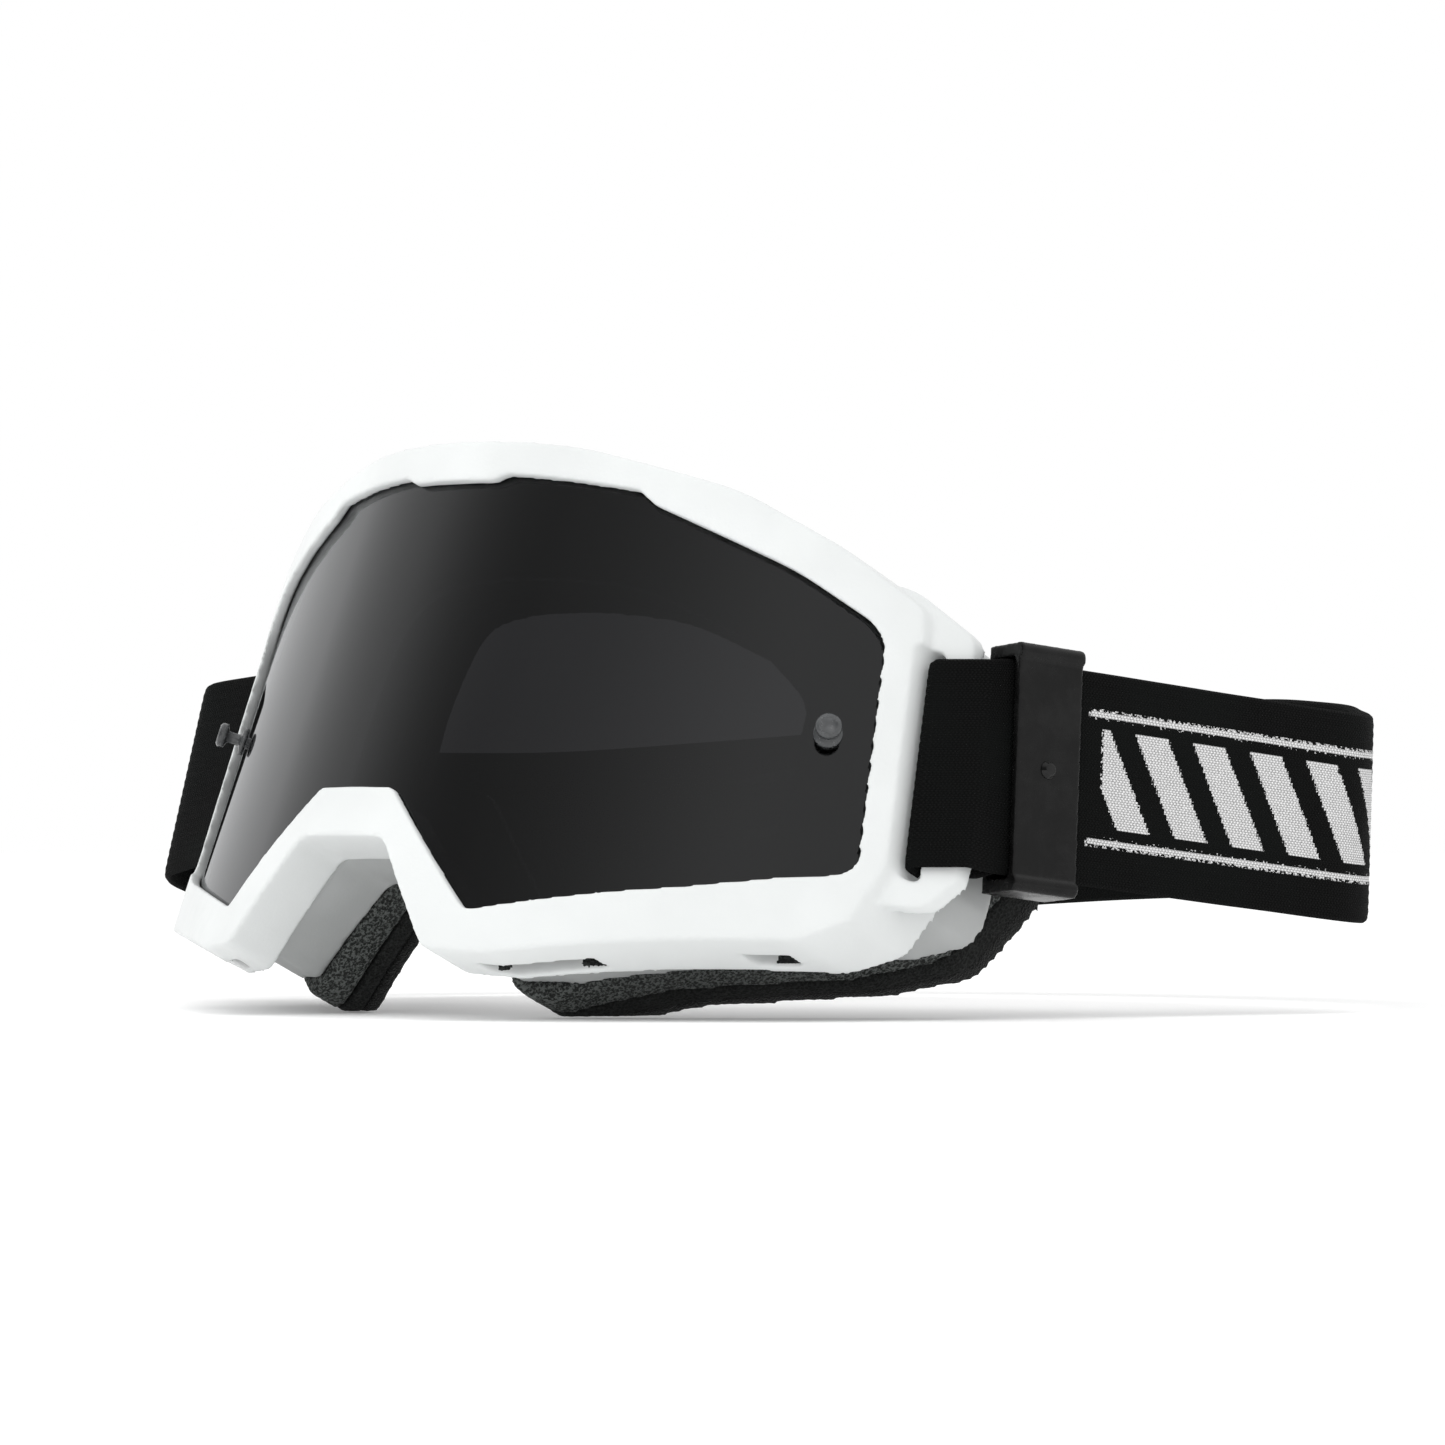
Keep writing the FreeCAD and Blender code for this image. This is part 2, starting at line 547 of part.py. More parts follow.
def rounded_path(points, step):
    """Stations along straight runs joined by tangent arcs, from (point, width way, radius)."""
    out = [points[0][:2]]
    for i in range(1, len(points) - 1):
        (a, _, _), (b, w, radius), (c, _, _) = points[i - 1:i + 2]
        d1, d2 = (b - a).normalize(), (c - b).normalize()
        turn = math.acos(max(-1.0, min(1.0, d1.dot(d2))))
        if turn < 0.01:
            out.append((b, w))
            continue
        cut = min(radius * math.tan(turn / 2), 0.47 * min((b - a).Length, (c - b).Length))
        radius = cut / math.tan(turn / 2)
        centre = b + (d2 - d1).normalize() * math.hypot(radius, cut)
        arm = (b - d1 * cut - centre).normalize()
        count = max(3, int(math.ceil(radius * turn / step)))
        for k in range(count + 1):
            angle = turn * k / count
            out.append((centre + (arm * math.cos(angle) + d1 * math.sin(angle)) * radius, w))
    out.append(points[-1][:2])
    return out


def profile_y(x, back):
    """Depth of the lens profile, offset back, straight behind x near the temples."""
    centre, radius = LENS["side"]
    return centre.y - math.sqrt((radius - back) ** 2 - (abs(x) - centre.x) ** 2)


def beside_slot(side, x, back, z):
    """A point near the outrigger in the resting frame, for the right or left side."""
    return leaned(V(side * x, profile_y(x, back), z))


def mirror_x(v):
    return V(-v.x, v.y, v.z)


half = D["strap_thick"] / 2
slot_top = [(slot[1][0][i] + slot[1][1][i]) / 2 for i in (0, 1)]
slot_bottom = [(slot[1][2][i] + slot[1][3][i]) / 2 for i in (0, 1)]
slot_mid_z = (slot_top[1] + slot_bottom[1]) / 2 - 0.5
slot_x = (slot_top[0] + slot_bottom[0]) / 2
bar_end_x = slot_x + 7.2
front = D["bar_front"] - D["strap_play"] - half       # main layer, ahead of the bar
behind = D["bar_back"] + D["strap_play"] + half       # tail, behind the bar
W_SLOT = (beside_slot(1, slot_top[0], 0, slot_top[1])
          - beside_slot(1, slot_bottom[0], 0, slot_bottom[1])).normalize()
run_start = beside_slot(1, bar_end_x, front, slot_mid_z + D["strap_rise"])
run_end = run_start + V(19.52, 86.4, -9.98)
RUN = (run_end - run_start).normalize()
RUN_OUT = RUN.cross(V(-0.06, 0.13, 0.99)).normalize()
W_RUN = RUN_OUT.cross(RUN).normalize()
W_BACK = V(0, 0.06, 1).normalize()


def loop_point(across, back, up, side=1):
    """A point of the strap's loop from where it leaves the outrigger on that side."""
    return V(side * (run_start.x + across), run_start.y + back, run_start.z + up)


left_bend = loop_point(14.0, -5.0, -2.5, -1)        # the slack left end bulges out
left_calm = loop_point(19.4, 12.5, -6.5, -1)

right_in = beside_slot(1, slot_x, D["bar_back"] - 0.4, slot_mid_z)
left_in = mirror_x(right_in)
right_turn = beside_slot(1, slot_x, front, slot_mid_z)
calm = run_start + RUN * (D["keeper_start"] - 0.5)     # the twist has ended here
route = rounded_path([
    (right_in, W_SLOT, 0),
    (right_turn, W_SLOT, 1.2),
    (run_start, W_SLOT, 2.0),
    (calm, W_RUN, 0),
    (run_end, W_RUN, 9.0),
    (loop_point(-12.5, 120.0, -7.0), W_BACK, 40.0),
    (loop_point(-44.5, 138.0, -5.0), W_BACK, 70.0),
    (V(0.0, run_start.y + 144.7, run_start.z - 6.5), W_BACK, 200.0),
    (loop_point(-34.5, 134.0, -10.5, -1), W_BACK, 90.0),
    (loop_point(8.0, 93.0, -15.0, -1), W_BACK, 50.0),
    (loop_point(19.9, 53.0, -15.0, -1), W_BACK, 80.0),
    (loop_point(20.2, 20.0, -8.5, -1), mirror_x(W_RUN), 40.0),
    (left_bend, mirror_x(W_SLOT * 0.5 + W_RUN * 0.5), 9.0),
    (mirror_x(right_turn), mirror_x(W_SLOT), 1.2),
    (left_in, mirror_x(W_SLOT), 0),
], 6.0)
finish(ribbon("strap_band", route, D["strap_width"], D["strap_thick"]), "strap_band")


def along(stations, first, length):
    """Stations from index first on, cut off after a length along the path."""
    out, done = [stations[first]], 0.0
    for a, b in zip(stations[first:], stations[first + 1:]):
        step = (b[0] - a[0]).Length
        if done + step >= length:
            k = (length - done) / step
            out.append((a[0] + (b[0] - a[0]) * k, a[1] + (b[1] - a[1]) * k))
            return out
        out.append(b)
        done += step
    return out


def between(stations, from_end, to_end):
    """The stretch of the stations' path between two distances from its last point."""
    total = sum((b[0] - a[0]).Length for a, b in zip(stations, stations[1:]))
    rest = along(stations, 0, total - to_end)
    start, done, out = total - from_end, 0.0, []
    for a, b in zip(rest, rest[1:]):
        step = (b[0] - a[0]).Length
        if not out and done + step > start:
            k = (start - done) / step
            out.append((a[0] + (b[0] - a[0]) * k, a[1] + (b[1] - a[1]) * k))
        if out:
            out.append(b)
        done += step
    return out


def tail(main, slot_point, side):
    """The strap's sewn tail: back out of the slot, behind the bar, along the inside."""
    gap = D["strap_thick"] + D["layer_gap"]
    w_slot = W_SLOT if side > 0 else mirror_x(W_SLOT)
    behind_slot = beside_slot(side, slot_x, D["bar_back"] + 1.3, slot_mid_z)
    behind_bar = beside_slot(side, slot_x + 5.2, behind + 0.5, slot_mid_z + D["strap_rise"] / 2)
    inner = []
    for c, _, w, n in frames(main):
        outward = n if n.x * side > 0 else n * -1.0
        inner.append((c - outward * gap, w))
    path = [(slot_point, w_slot, 0), (behind_slot, w_slot, 1.0), (behind_bar, w_slot, 2.0)]
    path += [(c, w, 12.0) for c, w in inner]
    return rounded_path(path, 4.0)


start_right = next(i for i, s in enumerate(route) if (s[0] - calm).Length < 1e-6)
right_main = along(route, start_right, D["tail_run"])
right_main = [(right_main[0][0] + RUN * 4.0, W_RUN), (right_main[-1][0] - RUN * 30.0, W_RUN),
              (right_main[-1][0], W_RUN)]
back_route = list(reversed(route))
left_first = min(range(len(back_route)),
                 key=lambda i: (back_route[i][0] - left_calm).Length)
left_main = along(back_route, left_first, D["tail_run"])
tails = {"right": tail(right_main, right_in, 1), "left": tail(left_main, left_in, -1)}
for n, stations in tails.items():
    finish(ribbon(f"strap_tail_{n}", stations, D["strap_width"] - D["tail_narrower"],
                  D["strap_thick"]), f"strap_tail_{n}")
    inside = -1 if n == "right" else 1
    stitched = between(stations, D["tack_width"] + 2.0, 2.0)
    finish(ribbon(f"bar_tack_{n}", stitched, D["strap_width"] - 4, D["tack_thick"], 0.0,
                  inside * (half + D["tack_thick"] / 2 + 0.02)), f"bar_tack_{n}")

# silicone beads on the inside of the strap, round the back of the head
back_run = [s for s in route if s[0].y > run_start.y + 118.0 and abs(s[0].x) < 75.0 * KX]
for name, rise in (("grip_bead_top", D["bead_pitch"]), ("grip_bead_middle", 0.0),
                   ("grip_bead_bottom", -D["bead_pitch"])):
    finish(ribbon(name, back_run, D["bead_width"], D["bead_thick"], rise,
                  -half - D["bead_thick"] / 2), name)

# ---------------------------------------------------------------- keeper on the strap
KEEPER = FreeCAD.Placement(run_start + RUN * (D["keeper_start"] + D["keeper_length"] / 2),
                           FreeCAD.Rotation(RUN, RUN_OUT, W_RUN * -1.0, "XZY"))
body = new_body("keeper_body")
sketch = new_sketch(body, "keeper_section", "YZ_Plane")
room_out = half + D["keeper_play"]
room_in = half + D["layer_gap"] + D["strap_thick"] + D["keeper_back_play"]
room_up = D["strap_width"] / 2 + D["keeper_play"]
high, wall = D["strap_width"] / 2 + D["keeper_cap"], D["keeper_wall"]
for y1, y2, z1 in ((-room_in - wall, room_out + wall, high), (-room_in, room_out, room_up)):
    box = [V(y1, -z1, 0), V(y2, -z1, 0), V(y2, z1, 0), V(y1, z1, 0)]
    first = sketch.GeometryCount
    for i in range(4):
        sketch.addGeometry(Part.LineSegment(box[i], box[(i + 1) % 4]), False)
    join_ends(sketch, first, 4)
    for i, kind in enumerate(("Horizontal", "Vertical", "Horizontal", "Vertical")):
        sketch.addConstraint(Sketcher.Constraint(kind, first + i))
    number = sketch.addConstraint(Sketcher.Constraint("DistanceY", first + 1, 1, first + 1, 2,
                                                      2 * z1))
    word = "outer_height" if first == 0 else "inner_height"
    sketch.renameConstraint(number, word)
    sketch.setExpression(f"Constraints.{word}", "Sizes.strap_width + 2 * Sizes.keeper_cap" if first == 0
                         else "Sizes.strap_width + 2 * Sizes.keeper_play")
sleeve = body.newObject("PartDesign::Pad", "keeper_sleeve_pad")
sleeve.Profile = sketch
sleeve.Midplane = True
sleeve.setExpression("Length", "Sizes.keeper_length")
beads = []
for n, s in (("top", 1), ("bottom", -1)):
    bead = doc.addObject("Part::Cylinder", f"keeper_bead_{n}")
    bead.setExpression("Radius", "Sizes.keeper_bead / 2")
    bead.setExpression("Height", "Sizes.keeper_length")
    centre = V(-D["keeper_length"] / 2, room_out + wall - 0.7, s * (high - D["keeper_bead"] / 2))
    bead.Placement = FreeCAD.Placement(centre, FreeCAD.Rotation(V(0, 1, 0), 90))
    beads.append(bead)
keeper_solid = tool_of("keeper_solid", "Part::MultiFuse", Shapes=[body] + beads)
to_outside = FreeCAD.Rotation(V(1, 0, 0), -90)
drill = doc.addObject("Part::Cylinder", "stud_hole")
drill.setExpression("Radius", "Sizes.stud_dia / 4 + 0.05")
drill.Height = 8.0
drill.Placement = FreeCAD.Placement(V(0, room_out - 1.0, 0), to_outside)
finish(tool_of("keeper_sleeve", "Part::Cut", Base=keeper_solid, Tool=drill), "keeper_sleeve", KEEPER)
shank = doc.addObject("Part::Cylinder", "stud_shank")
shank.setExpression("Radius", "Sizes.stud_dia / 4")
shank.setExpression("Height", "Sizes.keeper_wall")
shank.Placement = FreeCAD.Placement(V(0, room_out, 0), to_outside)
dome = doc.addObject("Part::Cone", "stud_head")
dome.setExpression("Radius1", "Sizes.stud_dia / 2")
dome.setExpression("Radius2", "Sizes.stud_dia / 3.4")
dome.Height = 0.9
dome.Placement = FreeCAD.Placement(V(0, room_out + wall, 0), to_outside)
finish(tool_of("keeper_stud", "Part::MultiFuse", Shapes=[shank, dome]), "keeper_stud", KEEPER)

# ---------------------------------------------------------------- checks and export
doc.recompute()
for obj in doc.Objects:
    if "Invalid" in obj.State or "Error" in obj.State:
        raise RuntimeError(f"{obj.Name}: {obj.State}")
os.makedirs("parts", exist_ok=True)
for name, obj in NODES:
    shape = obj.Shape
    if shape.isNull() or not shape.isValid() or shape.Volume <= 0:
        raise RuntimeError(f"{name}: bad shape")
    box = shape.optimalBoundingBox(True, False)
    print(f"{name:26s} {len(shape.Solids)} solid  {shape.Volume:10.1f} mm3  "
          f"x {box.XMin:7.1f} {box.XMax:7.1f}  y {box.YMin:7.1f} {box.YMax:7.1f}  "
          f"z {box.ZMin:7.1f} {box.ZMax:7.1f}")
    shape.exportStep(f"parts/{name}.step")
print("keeper slides along", [round(c, 5) for c in RUN], "from", [round(c, 2) for c in KEEPER.Base])
for n, s in (("right", 1), ("left", -1)):
    at = UPRIGHT.multiply(post_frame(s))
    head_middle = at.multVec(V(0, 0, D["post_height"] - 1.0))
    print("post head", n, [round(c, 3) for c in head_middle], [round(c, 5) for c in
                                                            at.Rotation.multVec(V(0, 0, 1))])
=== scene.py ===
import math

import bmesh
import bpy
import numpy as np
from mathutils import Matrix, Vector, noise


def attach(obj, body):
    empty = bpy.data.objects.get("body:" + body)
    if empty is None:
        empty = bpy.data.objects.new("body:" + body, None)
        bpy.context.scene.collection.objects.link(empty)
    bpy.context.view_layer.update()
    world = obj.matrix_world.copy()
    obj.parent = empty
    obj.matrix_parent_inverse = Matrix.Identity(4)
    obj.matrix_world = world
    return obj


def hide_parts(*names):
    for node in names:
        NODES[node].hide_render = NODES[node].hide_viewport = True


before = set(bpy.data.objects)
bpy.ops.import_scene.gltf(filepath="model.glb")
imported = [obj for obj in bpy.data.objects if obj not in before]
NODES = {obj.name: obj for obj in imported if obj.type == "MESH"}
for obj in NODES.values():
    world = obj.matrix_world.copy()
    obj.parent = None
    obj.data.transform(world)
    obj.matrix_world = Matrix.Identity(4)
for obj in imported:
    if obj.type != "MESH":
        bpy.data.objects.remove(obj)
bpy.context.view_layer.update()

MM = 0.001
REST = (0.0, -85.5, 66.5)       # where the upright frame's origin rests, in mm
LEAN = math.radians(23.55)      # how far the frame leans back on its foam
rng = np.random.default_rng(7)


# ---------------------------------------------------------------- camera
def camera(azimuth, elevation, distance, side, rise, lens):
    """Camera that looks at the upright frame's origin from an angle, moved aside and up."""
    az, el = math.radians(azimuth), math.radians(elevation)
    away = Vector((math.sin(az) * math.cos(el), -math.cos(az) * math.cos(el), math.sin(el)))
    right = (-away).cross(Vector((0, 0, 1))).normalized()
    up = right.cross(-away)
    data = bpy.data.cameras.new("view")
    data.lens, data.sensor_width = lens, 36.0
    data.clip_start, data.clip_end = 0.05, 20.0
    cam = bpy.data.objects.new("view", data)
    bpy.context.scene.collection.objects.link(cam)
    cam.location = (away * distance + right * side + up * rise
                    + Vector(REST) * MM)
    cam.rotation_euler = (-away).to_track_quat("-Z", "Y").to_euler()
    bpy.context.scene.camera = cam


camera(azimuth=42.67, elevation=-0.95, distance=1.2, side=0.0555, rise=-0.0146, lens=168.8)


# ---------------------------------------------------------------- node helper
class Tree:
    """Short calls for building a material's nodes."""

    def __init__(self, name):
        self.mat = bpy.data.materials.new(name)
        self.mat.use_nodes = True
        self.nt = self.mat.node_tree
        self.nt.nodes.clear()
        self.out = self.new("ShaderNodeOutputMaterial")
        self.place = self.new("ShaderNodeTexCoord").outputs["Object"]

    def new(self, kind, **settings):
        node = self.nt.nodes.new(kind)
        for key, value in settings.items():
            setattr(node, key, value)
        return node

    def feed(self, socket, value):
        if isinstance(value, bpy.types.NodeSocket):
            self.nt.links.new(value, socket)
        else:
            socket.default_value = value

    def math(self, operation, a, b=0.0, c=None):
        node = self.new("ShaderNodeMath", operation=operation)
        self.feed(node.inputs[0], a)
        self.feed(node.inputs[1], b)
        if c is not None:
            self.feed(node.inputs[2], c)
        return node.outputs[0]

    def ramp(self, value, low, high, to_low=0.0, to_high=1.0):
        node = self.new("ShaderNodeMapRange", interpolation_type="SMOOTHSTEP")
        for key, v in (("Value", value), ("From Min", low), ("From Max", high),
                       ("To Min", to_low), ("To Max", to_high)):
            self.feed(node.inputs[key], v)
        return node.outputs[0]

    def noise(self, scale, detail=2.0, rough=0.5, where=None):
        node = self.new("ShaderNodeTexNoise")
        self.feed(node.inputs["Vector"], where or self.place)
        for key, v in (("Scale", scale), ("Detail", detail), ("Roughness", rough)):
            self.feed(node.inputs[key], v)
        return node.outputs["Fac"]

    def cells(self, scale):
        node = self.new("ShaderNodeTexVoronoi", feature="F1")
        self.feed(node.inputs["Vector"], self.place)
        self.feed(node.inputs["Scale"], scale)
        return node.outputs["Distance"]

    def mix(self, factor, a, b):
        node = self.new("ShaderNodeMix", data_type="RGBA")
        self.feed(node.inputs["Factor"], factor)
        self.feed(node.inputs[6], a)
        self.feed(node.inputs[7], b)
        return node.outputs[2]

    def bump(self, height, distance, strength=1.0, after=None):
        node = self.new("ShaderNodeBump")
        self.feed(node.inputs["Height"], height)
        self.feed(node.inputs["Distance"], distance)
        self.feed(node.inputs["Strength"], strength)
        if after is not None:
            self.feed(node.inputs["Normal"], after)
        return node.outputs["Normal"]

    def principled(self, **sockets):
        node = self.new("ShaderNodeBsdfPrincipled")
        for key, v in sockets.items():
            self.feed(node.inputs[key.replace("_", " ")], v)
        return node.outputs[0]

    def done(self, shader):
        self.nt.links.new(shader, self.out.inputs["Surface"])
        return self.mat


COOL = (0.975, 1.0, 0.995)


def grey(v, tint=(1.0, 1.0, 1.0)):
    return (v * tint[0], v * tint[1], v * tint[2], 1.0)


def moulded(name, light, dark, rough, milky):
    """Moulded soft plastic: faint flow marks, fine peel, rubbed roughness."""
    t = Tree(name)
    flow = t.noise(28.0, 3.0, 0.55)
    peel = t.noise(1500.0, 2.0, 0.5)
    scuff = t.ramp(t.noise(140.0, 4.0, 0.7), 0.45, 0.75)
    colour = t.mix(t.ramp(flow, 0.3, 0.7), grey(dark, COOL), grey(light, COOL))
    return t.done(t.principled(
        Base_Color=colour, Roughness=t.ramp(scuff, 0.0, 1.0, rough, rough + 0.14),
        Subsurface_Weight=milky, Subsurface_Radius=(0.004, 0.004, 0.004),
        Specular_IOR_Level=0.42, Normal=t.bump(peel, 0.00005, 0.5)))


def foam_material(name, base, grain, fleck, scale, sheen=0.0):
    """Foam: open cells, light flecks and slow shading across the pad."""
    t = Tree(name)
    cell = t.cells(scale)
    fine = t.noise(scale * 1.7, 3.0, 0.65)
    slow = t.noise(60.0, 2.0)
    spots = t.ramp(t.math("ADD", fine, t.math("MULTIPLY", cell, 0.35)), 0.62, 0.78)
    shade = t.mix(t.ramp(slow, 0.3, 0.7), grey(base * 0.75, (0.88, 1.0, 0.93)),
                  grey(base * 1.3, (0.95, 1.0, 0.97)))
    colour = t.mix(t.math("MULTIPLY", spots, fleck), shade, grey(grain, (0.93, 1.0, 0.96)))
    height = t.math("SUBTRACT", t.math("MULTIPLY", cell, 1.0), t.math("MULTIPLY", fine, 0.6))
    return t.done(t.principled(Base_Color=colour, Roughness=0.95, Specular_IOR_Level=0.25,
                               Sheen_Weight=sheen, Sheen_Roughness=0.5,
                               Normal=t.bump(height, 0.0004, 0.8)))


def lens_material():
    """Smoke polycarbonate: dark but clear, with a mirror that grows towards grazing."""
    t = Tree("smoke_lens")
    facing = t.new("ShaderNodeLayerWeight")
    facing.inputs["Blend"].default_value = 0.5
    edge = t.math("POWER", facing.outputs["Facing"], 3.6)
    share = t.math("ADD", t.math("MULTIPLY", edge, 0.62), 0.036)
    clear = t.new("ShaderNodeBsdfTransparent")
    haze = t.noise(22.0, 2.0)
    t.feed(clear.inputs["Color"], t.mix(haze, (0.095, 0.095, 0.10, 1), (0.115, 0.115, 0.12, 1)))
    mirror = t.new("ShaderNodeBsdfGlossy")
    t.feed(mirror.inputs["Color"], (0.95, 0.96, 0.97, 1))
    smear = t.ramp(t.noise(90.0, 4.0, 0.7), 0.4, 0.8, 0.02, 0.07)
    t.feed(mirror.inputs["Roughness"], smear)
    both = t.new("ShaderNodeMixShader")
    t.feed(both.inputs[0], share)
    t.nt.links.new(clear.outputs[0], both.inputs[1])
    t.nt.links.new(mirror.outputs[0], both.inputs[2])
    return t.done(both.outputs[0])


def post_material():
    """Smoky translucent nylon."""
    t = Tree("smoke_post")
    cloud = t.noise(900.0, 2.0)
    colour = t.mix(cloud, (0.05, 0.053, 0.055, 1), (0.13, 0.135, 0.14, 1))
    return t.done(t.principled(Base_Color=colour, Roughness=t.ramp(cloud, 0.2, 0.8, 0.12, 0.3),
                               Transmission_Weight=0.35, IOR=1.5,
                               Normal=t.bump(cloud, 0.00005, 0.4)))


def gloss_material(name, base, rough, coat):
    """Glossy black rubber or metal with hairline scratches and worn patches."""
    t = Tree(name)
    wear = t.noise(160.0, 4.0, 0.65)
    stretch = t.new("ShaderNodeMapping")
    t.feed(stretch.inputs["Vector"], t.place)
    stretch.inputs["Scale"].default_value = (60.0, 900.0, 40.0)
    hair = t.noise(1.0, 3.0, 0.7, stretch.outputs[0])
    colour = t.mix(t.ramp(wear, 0.35, 0.8), grey(base), grey(base * 2.6))
    return t.done(t.principled(
        Base_Color=colour, Roughness=t.ramp(wear, 0.35, 0.75, rough, rough + 0.16),
        Coat_Weight=coat, Coat_Roughness=0.12, Specular_IOR_Level=0.14,
        Normal=t.bump(t.math("ADD", wear, t.math("MULTIPLY", hair, 0.5)), 0.0001, 0.35)))


RIB, PICK, STITCH = 0.85, 0.72, 0.5         # the knit's ribs, picks and stitches, in mm
EMBLEM_MIDDLE, EMBLEM_HALF = 82.0, 45.0     # the pattern's place along the strap, in mm
BAR_PITCH, BAR_SHARE, BAR_HALF = 13.0, 0.56, 8.8
BAR_SLANT, BAR_INSET = 0.55, 3.0
LINE_LOW, LINE_HIGH = 10.6, 12.0            # the two lines, from the strap's middle


def webbing_material(name, emblem):
    """Elastic webbing: knit ribs along it and picks across it; white woven bars if asked."""
    t = Tree(name)
    uv = t.new("ShaderNodeAttribute", attribute_name="strap_mm").outputs["Vector"]
    part = t.new("ShaderNodeSeparateXYZ")
    t.feed(part.inputs[0], uv)
    s, v, front = part.outputs
    rib = t.math("SINE", t.math("MULTIPLY", v, 2 * math.pi / RIB))
    shift = t.math("MULTIPLY", t.math("SIGN", rib), 0.22)
    pick = t.math("SINE", t.math("MULTIPLY", t.math("ADD", s, shift), 2 * math.pi / PICK))
    knit = t.math("ADD", t.math("MULTIPLY", t.math("ABSOLUTE", rib), 0.6),
                  t.math("MULTIPLY", pick, 0.4))
    fuzz = t.noise(2600.0, 2.0, 0.6)
    slow = t.noise(45.0, 2.0)
    black = t.mix(t.ramp(t.math("ADD", knit, fuzz), 0.4, 1.7), grey(0.0012), grey(0.0062))
    black = t.mix(t.ramp(slow, 0.35, 0.7), black, grey(0.0042, (0.85, 1.0, 0.95)))
    height = t.math("ADD", knit, t.math("MULTIPLY", fuzz, 0.8))
    colour = black
    if emblem:
        # the pattern's edges step from stitch to stitch
        jitter = t.math("MULTIPLY", t.math("SUBTRACT", t.noise(1900.0, 1.0), 0.5), 0.7)
        sq = t.math("ADD", t.math("SNAP", s, STITCH), jitter)
        vq = t.math("ADD", t.math("SNAP", v, STITCH), jitter)
        side = t.math("ABSOLUTE", t.math("SUBTRACT", sq, EMBLEM_MIDDLE))
        inside = t.math("LESS_THAN", side, EMBLEM_HALF)
        high = t.math("ABSOLUTE", vq)
        slant = t.math("ADD", sq, t.math("MULTIPLY", vq, BAR_SLANT))
        wrap = t.math("FRACT", t.math("DIVIDE", slant, BAR_PITCH))
        bars = t.math("MULTIPLY", t.math("LESS_THAN", wrap, BAR_SHARE),
                      t.math("LESS_THAN", high, BAR_HALF))
        bars = t.math("MULTIPLY", bars, t.math("LESS_THAN", side, EMBLEM_HALF - BAR_INSET))
        lines = t.math("MULTIPLY", t.math("GREATER_THAN", high, LINE_LOW),
                       t.math("LESS_THAN", high, LINE_HIGH))
        white = t.math("MULTIPLY", t.math("MAXIMUM", bars, lines), inside)
        white = t.math("MULTIPLY", white, t.math("GREATER_THAN", front, 0.5))
        thread = t.mix(t.ramp(t.math("ADD", knit, fuzz), 0.3, 1.6), grey(0.34), grey(0.86))
        colour = t.mix(white, black, thread)
        height = t.math("ADD", height, t.math("MULTIPLY", white, 0.9))
    return t.done(t.principled(Base_Color=colour, Roughness=0.92, Specular_IOR_Level=0.1,
                               Normal=t.bump(height, 0.00018, 0.8)))


def thread_material():
    """Black bonded thread with a fine twist."""
    t = Tree("bonded_thread")
    twist = t.noise(2400.0, 2.0, 0.6)
    return t.done(t.principled(Base_Color=t.mix(twist, grey(0.008), grey(0.03)), Roughness=0.55,
                               Sheen_Weight=0.1, Normal=t.bump(twist, 0.0001, 0.6)))


def silicone_material():
    """Cloudy dark silicone."""
    t = Tree("silicone")
    cloud = t.noise(300.0, 3.0)
    return t.done(t.principled(Base_Color=t.mix(cloud, grey(0.028), grey(0.06)),
                               Roughness=t.ramp(cloud, 0.3, 0.7, 0.28, 0.42),
                               Subsurface_Weight=0.1, Subsurface_Radius=(0.001, 0.001, 0.001),
                               Normal=t.bump(cloud, 0.0001, 0.3)))


WHITE = moulded("soft_white", 0.74, 0.68, 0.36, 0.12)
# painted shade: a darker grey copy of the white moulding, for the frame's shaded underside
SKIRT_PAINTED_SHADE = moulded("soft_white_painted_shade", 0.46, 0.38, 0.42, 0.10)
CHARCOAL = foam_material("charcoal_foam", 0.020, 0.16, 0.75, 1500.0)
BLACK_FOAM = foam_material("black_foam", 0.0075, 0.035, 0.5, 1700.0)
FLEECE = foam_material("black_fleece", 0.0055, 0.022, 0.6, 2600.0, sheen=0.12)
MESH = foam_material("vent_foam", 0.012, 0.05, 0.8, 900.0)
LENS = lens_material()
POST = post_material()
KEEPER = gloss_material("keeper_gloss", 0.003, 0.20, 0.08)
STUD = gloss_material("stud_gloss", 0.004, 0.12, 0.3)
WEB = webbing_material("webbing_pattern", True)
WEB_PLAIN = webbing_material("webbing_plain", False)
THREAD = thread_material()
SILICONE = silicone_material()


# ---------------------------------------------------------------- mesh helpers
def face_outwards(mesh):
    """Turns a closed mesh's faces outwards."""
    bm = bmesh.new()
    bm.from_mesh(mesh)
    bmesh.ops.recalc_face_normals(bm, faces=bm.faces)
    bm.to_mesh(mesh)
    bm.free()


def mesh_of(bm, name):
    """The finished bmesh as a mesh whose faces point outwards."""
    bmesh.ops.recalc_face_normals(bm, faces=bm.faces)
    mesh = bpy.data.meshes.new(name)
    bm.to_mesh(mesh)
    bm.free()
    return mesh


def add_piece(name, mesh, material, body, node):
    obj = bpy.data.objects.new(name, mesh)
    bpy.context.scene.collection.objects.link(obj)
    mesh.materials.clear()
    mesh.materials.append(material)
    mesh.polygons.foreach_set("use_smooth", [True] * len(mesh.polygons))
    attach(obj, body)
    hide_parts(node)
    return obj


